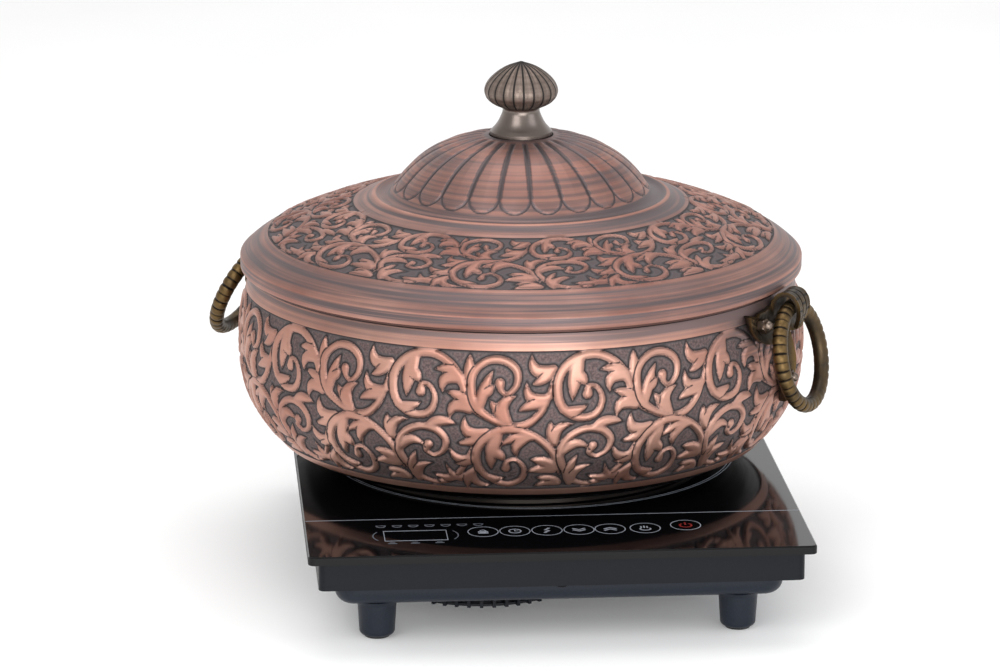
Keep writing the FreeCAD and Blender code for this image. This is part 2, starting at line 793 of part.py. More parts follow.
def make_inner_pot():
    inset = jacket_wall + jacket_gap
    low = pot_line[0][1]
    outside = wall_line(low, jacket_top, -inset, 18)
    inside = wall_line(low, jacket_top, -inset - pan_wall, 18)
    floor_low = glass_top_z + base_disc_height
    floor_high = floor_low + pan_wall
    top = glass_top_z + rim_top
    under = glass_top_z + jacket_top + jacket_gap
    rim_in = inside[-1][0]
    rim_out = rim_in + rim_width
    edges = [line((0, floor_low), (base_disc_radius, floor_low)),
             line((base_disc_radius, floor_low), outside[0]),
             curve(outside), line((0, floor_high), (base_disc_radius - 1, floor_high)),
             line((base_disc_radius - 1, floor_high), inside[0]), curve(inside),
             line((0, floor_low), (0, floor_high))]
    edges += chain([outside[-1], (outside[-1][0], under), (rim_out - rim_round, under),
                    (rim_out, under + rim_round), (rim_out, top - rim_round),
                    (rim_out - rim_round, top), (rim_in + rim_round, top),
                    (rim_in, top - rim_round), inside[-1]])
    return turned(edges).cut(bracket_holes(bolt_radius + hole_clearance))


def make_base_disc():
    disc = cylinder(base_disc_radius, 0, 0, glass_top_z, glass_top_z + base_disc_height)
    return disc.makeChamfer(edge_round, [e for e in disc.Edges if e.BoundBox.ZMax < glass_top_z + 0.01])


# Handles: bracket casting, screws, cap nuts and ring

def on_side(shape, side):
    turned_shape = shape.copy()
    turned_shape.rotate(Vector(0, 0, 0), Vector(0, 0, 1), handle_angles[side])
    return turned_shape


def plate_prism():
    """The leaf outline of a handle plate, as a bar running outwards along X."""
    right = [(y, z) for y, z in plate_half_outline]
    left = [(-y, z) for y, z in reversed(plate_half_outline[1:-1])]
    outline = Part.BSplineCurve()
    outline.interpolate([Vector(140, y, glass_top_z + z) for y, z in right + left], PeriodicFlag=True)
    return Part.Face(Part.Wire(outline.toShape())).extrude(Vector(60, 0, 0))


def wall_core(low, offset):
    """All that lies inside the wall line moved out by an offset, from a height above the glass up."""
    side = wall_line(low, jacket_top, offset)
    bottom = side[0][1]
    top = side[-1][1] + bracket_core_above
    return turned([curve(side), line((0, bottom), side[0]), line(side[-1], (side[-1][0], top)),
                   line((side[-1][0], top), (0, top)), line((0, top), (0, bottom))])


def make_bracket(side):
    low = plate_half_outline[-1][1]
    plate = plate_prism().common(wall_core(low - bracket_core_below, plate_gap + plate_thickness))
    centre = Vector(hinge_radius, -eye_width / 2, glass_top_z + hinge_height)
    outer = eye_bore + eye_wall
    eye = Part.makeCylinder(outer, eye_width, centre, Vector(0, 1, 0))
    plate_r = wall_curve.value(wall_parameter(hinge_height - outer - 3)).x
    corners = [(plate_r - 4, -outer - 4), (plate_r + 3, -outer - 4),
               (hinge_radius + outer * 0.62, -outer * 0.78), (hinge_radius, 0),
               (hinge_radius - outer * 0.6, outer * 0.75), (plate_r - 4, outer * 0.4)]
    points = [Vector(x, -eye_width / 2, glass_top_z + hinge_height + z) for x, z in corners]
    neck = Part.Face(Part.makePolygon(points + points[:1])).extrude(Vector(0, eye_width, 0))
    bore = Part.makeCylinder(eye_bore, eye_width + 2, centre - Vector(0, 1, 0), Vector(0, 1, 0))
    casting = fuse_all([plate, eye, neck]).cut(wall_core(low - 2 * bracket_core_below, plate_gap)).cut(bore)
    return on_side(casting, side).cut(bracket_holes(bolt_radius + hole_clearance))


def along_axis(shape, point, out):
    placed = shape.copy()
    placed.Placement = Placement(point, Rotation(Vector(0, 0, 1), out))
    return placed


def hexagon(flats, low, height):
    corners = around((0, 0), flats / math.sqrt(3), range(0, 361, 60))
    return Part.Face(Part.makePolygon([Vector(x, y, low) for x, y in corners])).extrude(Vector(0, 0, height))


def make_cap_nuts(side):
    across = cap_nut_flats / math.sqrt(3)
    nut = hexagon(cap_nut_flats, 0, cap_nut_hex)
    cone = Part.makeCone(across * 1.55, across * 0.92, cap_nut_hex + 0.01, Vector(0, 0, 0), Vector(0, 0, 1))
    nut = nut.common(cone)
    dome_height = cap_nut_height - cap_nut_dome_radius
    barrel = Part.makeCylinder(cap_nut_dome_radius, dome_height, Vector(0, 0, 0))
    dome = Part.makeSphere(cap_nut_dome_radius, Vector(0, 0, dome_height))
    nut = fuse_all([nut, barrel, dome]).cut(
        Part.makeCylinder(bolt_radius + stud_fit, dome_height + 1, Vector(0, 0, -1)))
    stand = plate_gap + plate_thickness + cap_nut_stand
    return Part.makeCompound([along_axis(nut, point + out * stand, out) for point, out in bracket_axes(side)])


def make_bracket_bolts(side):
    inner_face = jacket_wall + jacket_gap + pan_wall + plate_gap
    head = Part.makeCylinder(bolt_head_radius, bolt_head_height, Vector(0, 0, -bolt_head_height))
    crown = [e for e in head.Edges if e.BoundBox.ZMax < 0.01 - bolt_head_height]
    head = head.makeFillet(bolt_head_round, crown)
    length = inner_face + plate_gap + plate_thickness + cap_nut_height - cap_nut_dome_radius - bolt_end_gap
    bolt = head.fuse(Part.makeCylinder(bolt_radius, length)).removeSplitter()
    axes = bracket_axes(side)
    return Part.makeCompound([along_axis(bolt, point - out * inner_face, out) for point, out in axes])


def make_ring(side):
    hinge = Vector(hinge_radius, 0, glass_top_z + hinge_height)
    ring = Part.makeTorus(ring_radius, ring_wire_radius, hinge - Vector(0, 0, ring_radius), Vector(1, 0, 0))
    ring.rotate(hinge, Vector(0, 1, 0), -ring_swing[side])
    return on_side(ring, side)


# Lid: spun shell, seat ring and knob

def make_lid_shell():
    flange = raised(lid_flange, glass_top_z)
    band = raised(lid_band, glass_top_z)
    bead = raised(lid_bead, glass_top_z)
    dome = raised(lid_dome, glass_top_z)
    skirt = [(skirt_radius, glass_top_z + skirt_low), (skirt_radius + skirt_lean, glass_top_z + skirt_top)]
    outer = [line(skirt[0], skirt[1]), line(skirt[1], flange[0]), curve(flange),
             line(flange[-1], band[0]), curve(band),
             line(band[-1], bead[0]), Part.Arc(at(bead[0]), at(bead[1]), at(bead[2])).toShape(),
             line(bead[2], dome[0]), curve(dome), line(dome[-1], (0, dome[-1][1]))]
    whole = skirt + flange + band + dome + [(0, dome[-1][1])]
    inside = shifted(whole, -lid_wall)
    inside[0] = (skirt[0][0] - lid_wall, skirt[0][1])
    inside[-2] = (inside[-2][0], dome[-1][1] - lid_wall)
    inside[-1] = (0, dome[-1][1] - lid_wall)
    first, second = len(skirt), len(skirt) + len(flange)
    third = second + len(band)
    inner = [line(inside[0], inside[1]), line(inside[1], inside[first]), curve(inside[first:second]),
             line(inside[second - 1], inside[second]), curve(inside[second:third]),
             line(inside[third - 1], inside[third]), curve(inside[third:-1]), line(inside[-2], inside[-1])]
    ends = [line(skirt[0], inside[0]), line((0, dome[-1][1]), inside[-1])]
    shell = turned(outer + inner + ends)
    return shell.cut(cylinder(stud_radius + hole_clearance, 0, 0, dome[-1][1] - 5, dome[-1][1] + 5))


def make_lid_seat_ring():
    low = glass_top_z + rim_top
    outer = skirt_radius - lid_wall
    pan_mouth = wall_line(pot_line[0][1], jacket_top, -jacket_wall - jacket_gap - pan_wall)[-1][0]
    lip = pan_mouth - seat_lip_gap
    return polygon_turned([(lip - seat_wall, low - seat_lip_depth), (lip, low - seat_lip_depth),
                           (lip, low), (outer, low), (outer, low + seat_height),
                           (outer - seat_wall, low + seat_height),
                           (outer - seat_wall, low + seat_wall), (lip - seat_wall, low + seat_wall)])


def knob_z(points):
    return raised(points, glass_top_z + lid_top)


def make_knob_base():
    flange, neck = knob_z(knob_flange), knob_z(knob_neck)
    low, high = glass_top_z + lid_top, neck[-1][1]
    bore = stud_radius + stud_fit
    rim = flange[0][0]
    edges = [line((bore, low), (rim, low)), line((rim, low), flange[0]),
             line(flange[0], flange[1]), curve(neck),
             line(neck[-1], (bore, high)), line((bore, high), (bore, low))]
    return turned(edges)


def make_knob_head():
    head = knob_z(knob_head)
    solid = turned([curve(head), line((0, head[0][1]), head[0]), line((0, head[0][1]), head[-1])])
    return solid.cut(cylinder(stud_radius + stud_fit, 0, 0, head[0][1] - 1, head[0][1] + stud_in_head))


def lid_inside_z():
    return glass_top_z + lid_top - lid_wall


def make_knob_stud():
    high = knob_z(knob_head)[0][1] + stud_in_head - bolt_end_gap
    return cylinder(stud_radius, 0, 0, lid_inside_z() - stud_below_lid, high)


def make_knob_washer():
    high = lid_inside_z()
    return tube(washer_radius, stud_radius + hole_clearance, 0, 0, high - washer_thickness, high)


def make_knob_nut():
    high = lid_inside_z() - washer_thickness
    nut = hexagon(nut_flats, high - nut_height, nut_height)
    return nut.cut(cylinder(stud_radius + stud_fit, 0, 0, high - nut_height - 1, high + 1))


# Build every node, then write them

def build():
    nodes["glass_top"] = make_glass_top()
    nodes["upper_housing"] = make_upper_housing()
    nodes["lower_housing"] = make_lower_housing()
    nodes["feet"] = make_feet()
    nodes["foot_pads"] = make_foot_pads()
    nodes["fan_guard"] = make_fan_guard()
    nodes["fan_motor"] = make_fan_motor()
    nodes["fan_rotor"] = make_fan_rotor()
    nodes["induction_coil"] = make_induction_coil()
    nodes["coil_carrier"] = make_coil_carrier()
    nodes["ferrite_bars"] = make_ferrite_bars()
    nodes["insulation_sheet"] = make_insulation_sheet()
    nodes["thermal_sensor"] = make_thermal_sensor()
    nodes["power_board"] = make_power_board()
    nodes["heat_sink"] = make_heat_sink()
    nodes["power_transistors"] = make_power_transistors()
    nodes["filter_capacitors"] = make_filter_capacitors()
    nodes["input_choke"] = make_input_choke()
    nodes["control_board"] = make_control_board()
    nodes["touch_springs"] = make_touch_springs()
    nodes["display_module"] = make_display_module()
    nodes["cord_gland"] = make_cord_gland()
    make_screws()
    pot = {"pot_jacket": make_pot_jacket(), "inner_pot": make_inner_pot(), "base_disc": make_base_disc(),
           "lid_shell": make_lid_shell(), "lid_seat_ring": make_lid_seat_ring(),
           "knob_base": make_knob_base(), "knob_head": make_knob_head(),
           "knob_stud": make_knob_stud(), "knob_washer": make_knob_washer(), "knob_nut": make_knob_nut()}
    for side in handle_angles:
        pot[side + "_bracket"] = make_bracket(side)
        pot[side + "_bracket_nuts"] = make_cap_nuts(side)
        pot[side + "_bracket_bolts"] = make_bracket_bolts(side)
        pot[side + "_ring"] = make_ring(side)
    for name, shape in pot.items():
        nodes[name] = shape.translated(Vector(pot_x, pot_y, 0))


build()
os.makedirs("parts", exist_ok=True)
for name, shape in nodes.items():
    shape.exportStep("parts/" + name + ".step")
    print(name, len(shape.Solids), shape.isValid(), round(shape.Volume))
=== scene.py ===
import json
import math
from functools import partial

import bpy
import numpy as np
from mathutils import Matrix, Vector


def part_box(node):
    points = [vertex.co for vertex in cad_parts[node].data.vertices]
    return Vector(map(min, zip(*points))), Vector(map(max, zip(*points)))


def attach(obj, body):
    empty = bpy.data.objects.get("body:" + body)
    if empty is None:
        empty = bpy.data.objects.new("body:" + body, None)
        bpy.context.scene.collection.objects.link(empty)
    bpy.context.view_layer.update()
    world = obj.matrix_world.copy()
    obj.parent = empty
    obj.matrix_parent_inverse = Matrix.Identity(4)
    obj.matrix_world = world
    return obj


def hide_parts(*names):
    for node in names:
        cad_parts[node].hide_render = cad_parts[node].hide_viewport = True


# The looks of a lidded copper soup pot on an induction heater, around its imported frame.

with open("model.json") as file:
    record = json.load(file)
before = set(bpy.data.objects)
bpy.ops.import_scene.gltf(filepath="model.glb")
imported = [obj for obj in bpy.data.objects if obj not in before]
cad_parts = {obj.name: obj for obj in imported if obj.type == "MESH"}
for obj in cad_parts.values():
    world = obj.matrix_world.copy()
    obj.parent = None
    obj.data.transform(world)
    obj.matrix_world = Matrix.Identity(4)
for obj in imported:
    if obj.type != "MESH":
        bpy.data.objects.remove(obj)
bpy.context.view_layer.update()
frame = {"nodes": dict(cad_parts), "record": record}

MM = 0.001

# Places taken from the frame, in millimetres
glass_low, glass_high = (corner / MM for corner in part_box("glass_top"))
knob_low, knob_high = (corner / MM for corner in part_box("knob_head"))
GLASS_Z = glass_high.z
HOB_X = (glass_low.x + glass_high.x) / 2
HOB_HALF = (glass_high.x - glass_low.x) / 2
HOB_FRONT = glass_low.y
POT_AXIS = (knob_low + knob_high) / 2

# Pot wall and lid, as radius and height above the glass, in millimetres
POT_WALL = [(117.5, 3.2), (132.8, 8.0), (144.8, 14.2), (152.3, 22.5),
            (165.7, 44.0), (170.4, 76.0), (168.3, 98.0), (163.2, 117.0)]
JACKET_BOTTOM, JACKET_TOP, JACKET_WALL = 16.5, 117.0, 1.2
SCROLLS_BOTTOM, SCROLLS_TOP = 21.0, 107.0
LID_SKIRT = [(167.6, 119.8), (168.8, 119.8), (169.1, 120.3), (169.12, 121.6), (169.14, 122.6), (169.2, 126.4),
             (169.0, 127.1)]
LID_FLANGE = [(168.4, 127.8), (162.0, 133.2), (154.2, 138.0)]
LID_BAND = [(152.4, 139.6), (128.0, 149.6), (101.0, 157.8)]
LID_BEAD = [(97.5, 159.0), (94.0, 160.2), (91.5, 161.2), (90.2, 162.1), (89.2, 162.9), (88.0, 163.3),
            (86.8, 163.1), (85.8, 162.5), (84.6, 161.9), (82.6, 161.9), (80.6, 162.4)]
LID_DOME = [(78.8, 163.4), (75.2, 168.4), (65.0, 179.8), (50.0, 189.9), (32.0, 195.9), (19.5, 198.2)]
LID_TOP = LID_DOME[-1][1]
LID_WALL = 1.2
# The lid's inside: its lip, then (points of the outside, how far in from them, rows)
LID_LIP = (167.6, 119.9)
LID_INSIDE = [(LID_FLANGE, 0.4, 5), (LID_BAND, 0.4, 8), (LID_DOME, 0.8, 14)]
# The knob, above the lid's top
KNOB_HEAD = [(11.8, 17.0), (16.1, 18.9), (20.5, 22.6), (21.8, 26.6), (19.2, 33.0), (15.2, 36.9), (8.4, 41.3),
             (1.0, 44.3)]
KNOB_INSIDE = [(11.0, 17.2), (10.0, 26.0), (7.0, 38.0), (1.0, 42.0)]

# Grids of the turned pieces
POT_REPEATS, POT_COLUMNS_EACH = 11, 88
LID_REPEATS, LID_COLUMNS_EACH = 9, 88
POT_ROW_STEP, LID_ROW_STEP = 1.09, 1.1
ROWS_BELOW_SCROLLS = 5
ROWS_ABOVE_SCROLLS = (0.6, 1.2, 1.9, 3.0, 5.0, 7.0)
JACKET_INNER_ROWS = 14
FLANGE_ROWS = 6
DOME_FINE_ROWS, DOME_FINE_LENGTH, DOME_ROWS = 18, 15.0, 28
INNER_WALL_SHARE = 8

# Embossing: lengths in millimetres, the rest as shares
POT_PHASE, LID_PHASE = 0.69, 0.3
POT_RISE, POT_GROUND = 1.7, 0.9
LID_RISE, LID_GROUND = 1.445, 0.72
EDGE_WIDTH = 1.7
EDGE_SHARE, CROWN_SHARE = 0.9, 0.1
STROKE_FULLNESS, TILE_MARGIN = 1.08, 4.0
ROOT_FADE, ROOT_CLEARANCE = 0.36, 4.0
BORDER_SLOPE = 1.2
SEAM_DEPTH, SEAM_HALF_WIDTH = 0.4, 0.9
# What the finish reads where nothing is embossed: deep inside the metal, and far from an engraved line
NO_EDGE, NO_LINE = -4.0, 9.0

# Petals of the dome, in millimetres
PETALS, PETAL_RISE, PETAL_GAP = 24, 0.6, 0.6
PETAL_START, PETAL_ROUNDING = 3.4, 5.0
GROOVE_DEPTH, GROOVE_HALF_WIDTH, GROOVE_WIDENING = 0.5, 0.9, 0.35
GROOVE_END, GROOVE_FADE, GROOVE_CLIMB = 6.0, 2.5, 25.0

# Flutes of the knob
FLUTES, FLUTE_COLUMNS, FLUTE_ROWS = 22, 16, 44
FLUTE_DEPTH, FLUTE_HALF_WIDTH, FLUTE_DARK_HALF, FLUTE_BULGE = 0.55, 0.6, 0.42, 0.35
FLUTE_FULL_RADIUS = 9.0

# Dark patina left round the brackets, where the cloth can't reach: height in millimetres, spread in degrees
SMOKE, SMOKE_FROM, SMOKE_RISE, SMOKE_SPREAD = 2.2, 80.0, 25.0, 15.0

# Ring handles
RING_RADIUS, RING_WIRE = 29.5, 4.6
RING_SEGMENTS, RING_SIDES = 38, 20
RING_NOTCH, NOTCH_WEAR = 0.75, 0.2
NOTCH_PROFILE = (1.0, 0.3, 0.04, 0.0, 0.04, 0.3)
RING_STEPS = len(NOTCH_PROFILE)

# Brackets, in millimetres from the ring's hinge
BRACKET_ANGLE = {"right": -30.0, "left": 150.0}
HINGE_RADIUS, HINGE_HEIGHT = 176.0, 110.5
# The strap's line as (out, up), and its half width at each point
STRAP_LINE = [(-9.2, -9.0), (-8.6, -2.0), (-7.6, 4.0), (-4.6, 7.8), (-0.6, 9.0), (3.7, 7.6), (6.5, 3.5),
              (7.0, -1.8), (5.6, -7.2), (2.6, -12.6)]
STRAP_HALF = [9.2, 9.0, 8.9, 8.8, 8.8, 8.7, 8.3, 7.0, 4.4, 0.6]
STRAP_CREST_HALF = 8.8
STRAP_THICK, STRAP_ROWS = 2.4, 70
BRICK_ROWS, BRICK_LENGTH, BRICK_GAP, BRICK_CUT = 3, 7.0, 0.55, 0.35
STRAP_RIM, STRAP_RIM_RISE = 0.14, 0.35
# Each leaf of the casting: its middle line as (sideways, up), its half widths, and how far its rim stands out
SIDE_LEAF = [(0, -6), (12, -8), (24, -8), (33, -5), (37, 1)]
SIDE_LEAF_HALF = [8.0, 9.5, 9.5, 7.0, 0.8]
CAST_LEAVES = [
    ([(-x, y) for x, y in SIDE_LEAF], SIDE_LEAF_HALF, 3.4),
    (SIDE_LEAF, SIDE_LEAF_HALF, 3.4),
    ([(0, -2), (0, -18), (0, -34), (0, -48), (0, -58)], [9.0, 9.5, 10.5, 8.0, 0.8], 3.0),
]
LEAF_ROWS, LEAF_COLUMNS, LEAF_VEINS = 34, 25, 9
PLATE_HEIGHT, PLATE_GAP = 2.2, 0.15
VEIN_DEPTH, SPINE_RISE, SPINE_HALF = 0.6, 0.7, 0.16

# Marks on the glass, in millimetres from the middle of its front edge
KEY_X = (-42.9, -24.5, -6.0, 12.5, 30.5, 50.8)
KEY_Y, POWER_X, POWER_Y = 42.5, 74.7, 46.6
KEY_RX, KEY_RY = 8.7, 9.6
KEY_LINE = 0.55
PANEL_LINE_Y = 71.2
DISPLAY = [(-100, 28.6), (-64, 28.6), (-64, 47.6), (-100, 47.6)]
ZONE_X, ZONE_Y, ZONE_R, ZONE_STEP = -1.0, 209.4, 123.7, 1.8
PRINT_LIFT = 0.04

# Camera fitted to the photograph, in metres
CAMERA_PLACE = (-0.2172, -2.6146, 0.8169)
CAMERA_TARGET = (-0.0081, 0.0192, 0.1336)
CAMERA_LENS, CAMERA_SENSOR = 162.0, 36.0


def unit(values):
    """Values held between 0 and 1."""
    return np.clip(values, 0, 1)


# Curves

def smooth_line(points, steps):
    """A curve through points of any size, by cubic segments that pass through each of them."""
    p = np.array(points, float)
    p = np.vstack([2 * p[0] - p[1], p, 2 * p[-1] - p[-2]])
    t = np.linspace(0, 1, steps, endpoint=False)[:, None]
    out = []
    for a, b, c, d in zip(p, p[1:], p[2:], p[3:]):
        bend, twist = 2 * a - 5 * b + 4 * c - d, 3 * b - a - 3 * c + d
        out.append(0.5 * (2 * b + (c - a) * t + bend * t ** 2 + twist * t ** 3))
    return np.vstack(out + [p[-2][None]])


def run_along(line):
    """How far along a line each of its points is."""
    return np.concatenate([[0], np.cumsum(np.linalg.norm(np.diff(line, axis=0), axis=1))])


def sample_line(line, run, at):
    return np.column_stack([np.interp(at, run, line[:, i]) for i in range(line.shape[1])])


def even_line(line, count):
    run = run_along(line)
    return sample_line(line, run, np.linspace(0, run[-1], count))


def natural_spline(points, count):
    """A stiff curve through points, as a spun wall has, sampled at even steps of its length."""
    p = np.array(points, float)
    s = run_along(p)
    h = np.diff(s)
    n = len(p)
    matrix, right = np.eye(n), np.zeros((n, 2))
    for i in range(1, n - 1):
        matrix[i, i - 1:i + 2] = h[i - 1], 2 * (h[i - 1] + h[i]), h[i]
        right[i] = 6 * ((p[i + 1] - p[i]) / h[i] - (p[i] - p[i - 1]) / h[i - 1])
    m = np.linalg.solve(matrix, right)
    t = np.linspace(0, s[-1], 60 * n)
    k = np.clip(np.searchsorted(s, t, side="right") - 1, 0, n - 2)
    a, b = (s[k + 1] - t)[:, None], (t - s[k])[:, None]
    w = h[k][:, None]
    line = (m[k] * a ** 3 + m[k + 1] * b ** 3) / (6 * w)
    line += (p[k] / w - m[k] * w / 6) * a + (p[k + 1] / w - m[k + 1] * w / 6) * b
    return even_line(line, count)


def directions(line):
    """The direction of a line in its plane at each of its points."""
    along = np.gradient(line, axis=0)
    return along / np.linalg.norm(along, axis=1)[:, None]


# The scroll ornament, drawn on a tile of 100 by 100 and then scaled to its place
# Each stem is a run of (across, up, half width); a last point that is wide is the bud it curls into

STEM_RIGHT = [(69, 52, 2.0), (82, 53, 2.5), (91, 61, 2.2), (96, 72, 1.8), (98, 80, 1.1), (100, 87, 0.4)]
SCROLL_A = [(70, 52, 1.2), (54, 61, 2.2), (47, 72, 2.4), (43, 83, 2.4), (36, 92, 2.5), (25, 97, 2.5),
            (13, 95, 2.7), (4, 87, 2.8), (1, 76, 2.8), (4, 64, 2.7), (14, 57, 2.5), (24, 59, 2.3),
            (28, 68, 1.9), (25, 76, 1.5), (20, 77, 1.7), (19, 72, 3.0)]
SCROLL_B = [(75, 52, 1.6), (63, 56, 2.3), (53, 65, 2.5), (50, 77, 2.5), (52, 87, 2.3), (60, 94, 2.3),
            (70, 94, 2.5), (77, 88, 2.4), (77, 79, 2.0), (72, 73, 1.6), (68, 75, 1.7), (67, 80, 2.9)]
STEM_LOW = [(121, 3, 2.0), (133, 7, 2.3), (142, 18, 1.9), (148, 31, 1.5), (152, 41, 0.6)]
SCROLL_C = [(104, 13, 0.5), (102, 22, 1.8), (98, 34, 2.3), (89, 44, 2.4), (78, 49, 2.5), (67, 49, 2.7),
            (57, 42, 2.8), (52, 31, 2.8), (54, 18, 2.6), (62, 8, 2.5), (72, 5, 2.5), (80, 11, 2.3),
            (81, 21, 1.9), (76, 28, 1.5), (71, 26, 1.7), (70, 20, 2.9)]
SCROLL_D = [(125, 3, 1.6), (114, 7, 2.3), (106, 20, 2.5), (103, 33, 2.4), (107, 43, 2.3), (117, 49, 2.3),
            (128, 48, 2.5), (134, 41, 2.3), (132, 33, 1.9), (126, 29, 1.6), (121, 32, 1.7), (123, 37, 2.8)]

# Each stem with its leaf lobes, as (root across, root up, tip across, tip up, bend, half width)
# Strokes that come later lie over the earlier ones
GROWTH = [
    (STEM_RIGHT, [(99, 89, 86, 98, 0.41, 3.7), (98, 88, 86, 79, 0.08, 3.1), (96, 71, 83, 81, 0.40, 3.4),
                  (94, 67, 78, 62, -0.08, 3.2)]),
    (SCROLL_A, [(15, 95, 10, 68, -0.04, 4.3), (12, 86, 18, 78, 0.10, 3.4), (4, 62, 19, 65, -0.12, 3.0),
                (45, 78, 27, 87, -0.22, 3.6), (43, 81, 33, 72, -0.45, 3.4),
                (50, 64, 35, 73, -0.12, 3.4), (49, 62, 37, 56, -0.44, 3.7), (49, 80, 49, 98, 0.02, 3.2)]),
    (SCROLL_B, [(55, 63, 63, 88, 0.05, 3.4), (57, 72, 63, 79, -0.10, 2.6), (70, 55, 61, 69, 0.0, 3.0),
                (72, 55, 77, 72, 0.34, 3.8)]),
    (STEM_LOW, [(52, 29, 36, 36, 0.34, 3.4), (51, 27, 38, 23, 0.06, 2.6), (51, 19, 32, 23, 0.60, 3.2),
                (41, 11, 22, 12, 0.12, 2.9), (50, 18, 44, -1, -0.10, 3.2), (49, 15, 60, 4, -0.35, 3.0),
                (59, 48, 46, 58, 0.44, 3.7), (56, 45, 41, 39, 0.08, 3.1)]),
    (SCROLL_C, [(66, 46, 61, 19, -0.06, 4.3), (62, 35, 69, 27, 0.10, 3.4), (55, 14, 69, 11, -0.12, 2.8),
                (86, 44, 67, 38, -0.15, 3.1), (84, 44, 77, 30, -0.25, 3.3), (0, 40, -3, 55, 0.06, 3.3),
                (0, 40, 11, 53, 0.30, 3.1), (4, 6, -11, 11, -0.12, 3.4), (4, 5, -12, 2, -0.16, 2.9),
                (100, 20, 85, 28, -0.12, 3.9), (100, 18, 83, 17, -0.12, 3.5)]),
    (SCROLL_D, [(5, 33, 21, 35, 0.33, 3.2), (11, 5, 14, 31, 0.10, 3.5), (12, 6, 24, 22, 0.25, 3.2),
                (24, 51, 41, 52, 0.14, 3.2)]),
]
LOBE_WIDTHS = (0.62, 0.92, 1.0, 0.86, 0.55, 0.05)
STEM_STEPS, LOBE_STEPS = 5, 3


def lobe_stroke(x0, y0, x1, y1, bend, width):
    """One lobe: a stroke that bows to one side, swells and runs out to a point."""
    t = np.linspace(0, 1, len(LOBE_WIDTHS))
    bow = 4 * bend * t * (1 - t)
    x, y = x0 + (x1 - x0) * t + (y0 - y1) * bow, y0 + (y1 - y0) * t + (x1 - x0) * bow
    return np.column_stack([x, y, np.array(LOBE_WIDTHS) * width])


def ornament_strokes(width, height):
    """Every stem and leaf lobe of a tile of that size, in millimetres, and whether it is a lobe."""
    scale = np.array([width / 100, height / 100, STROKE_FULLNESS * math.sqrt(width * height) / 100])
    strokes = []
    for stem, lobes in GROWTH:
        strokes.append((smooth_line(np.array(stem, float) * scale, STEM_STEPS), False))
        for lobe in lobes:
            strokes.append((smooth_line(lobe_stroke(*lobe) * scale, LOBE_STEPS), True))
    return strokes


def stroke_depth(stroke, x, y):
    """How far inside a stroke each point is, negative outside, and where along it that is, from 0 to 1."""
    best = np.full(x.shape, -np.inf)
    along = np.zeros(x.shape)
    last = len(stroke) - 1
    for i, ((ax, ay, ar), (bx, by, br)) in enumerate(zip(stroke, stroke[1:])):
        dx, dy = bx - ax, by - ay
        t = unit(((x - ax) * dx + (y - ay) * dy) / max(dx * dx + dy * dy, 1e-9))
        inside = ar + t * (br - ar) - np.hypot(x - ax - t * dx, y - ay - t * dy)
        better = inside > best
        best = np.where(better, inside, best)
        along = np.where(better, (i + t) / last, along)
    return best, along


def ornament(width, height, columns, rows, phase):
    """One tile: rise from 0 to 1, distance outside the nearest edge, distance from an engraved line."""
    across = (np.arange(columns) / columns + phase) % 1.0 * width
    x, y = np.meshgrid(across, np.linspace(0, height, rows))
    rise = np.zeros(x.shape)
    outside = np.full(x.shape, np.inf)
    engraved = np.full(x.shape, NO_LINE)
    # The sign changes from stem to stem, so that the line between two of them runs through zero
    way = 1.0
    for stroke, is_leaf in ornament_strokes(width, height):
        way = way if is_leaf else -way
        for shift in (-2 * width, -width, 0, width):
            moved = stroke + np.array([shift, 0, 0])
            widest = moved[:, 2].max()
            margin = widest + TILE_MARGIN
            if moved[:, 0].max() < -margin or moved[:, 0].min() > width + margin:
                continue
            inside, along = stroke_depth(moved, x, y)
            slope = unit(inside / EDGE_WIDTH)
            crown = unit(inside / widest)
            rise = np.maximum(rise, EDGE_SHARE * (1 - (1 - slope) ** 2) + CROWN_SHARE * np.sqrt(crown))
            fade = ROOT_CLEARANCE * unit(1 - along / ROOT_FADE) if is_leaf else 0.0
            own = np.abs(inside) + fade
            below = np.sign(engraved) * np.minimum(np.abs(engraved), own)
            engraved = np.where(inside > 0, way * own, below)
            outside = np.minimum(outside, -inside)
    return rise, outside, np.where(outside < 0, engraved, NO_LINE)


def embossed_zone(width, height, columns, rows, repeats, phase, full_rise, ground):
    """A row of tiles round a wall: lift, and a tile's two distances."""
    tile = ornament(width, height, columns, rows, phase)
    rise, outside, crease = (np.tile(grid, (1, repeats)) for grid in tile)
    up = np.linspace(0, height, rows)[:, None]
    border = np.minimum(up, height - up)
    lift = np.maximum(rise * full_rise - ground, -np.minimum(border * BORDER_SLOPE, ground))
    lift -= SEAM_DEPTH * unit(1 - np.abs(crease) / SEAM_HALF_WIDTH)
    return lift, np.minimum(outside, border), crease


# Meshes

def mesh_object(name, verts, faces):
    mesh = bpy.data.meshes.new(name)
    mesh.from_pydata([tuple(v) for v in verts], [], faces)
    mesh.validate()
    made = bpy.data.objects.new(name, mesh)
    bpy.context.scene.collection.objects.link(made)
    return made


def vertex_places(mesh):
    places = np.empty(len(mesh.vertices) * 3)
    mesh.vertices.foreach_get("co", places)
    return places.reshape(-1, 3)


def select_only(made):
    bpy.ops.object.select_all(action="DESELECT")
    made.select_set(True)
    bpy.context.view_layer.objects.active = made


def shade(made, angle):
    select_only(made)
    bpy.ops.object.shade_smooth_by_angle(angle=math.radians(angle))
    return made


def attribute(made, name, values):
    layer = made.data.attributes.new(name, "FLOAT", "POINT")
    layer.data.foreach_set("value", np.asarray(values, np.float32).ravel())


def finish_piece(made, body, slot, material, *nodes):
    made.data.materials.clear()
    made.data.materials.append(material)
    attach(made, body)
    if nodes:
        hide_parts(*nodes)


def outward_normals(line):
    """The outward direction at each point of a profile that runs upwards and then inwards."""
    along = directions(line)
    return np.column_stack([along[:, 1], -along[:, 0]])


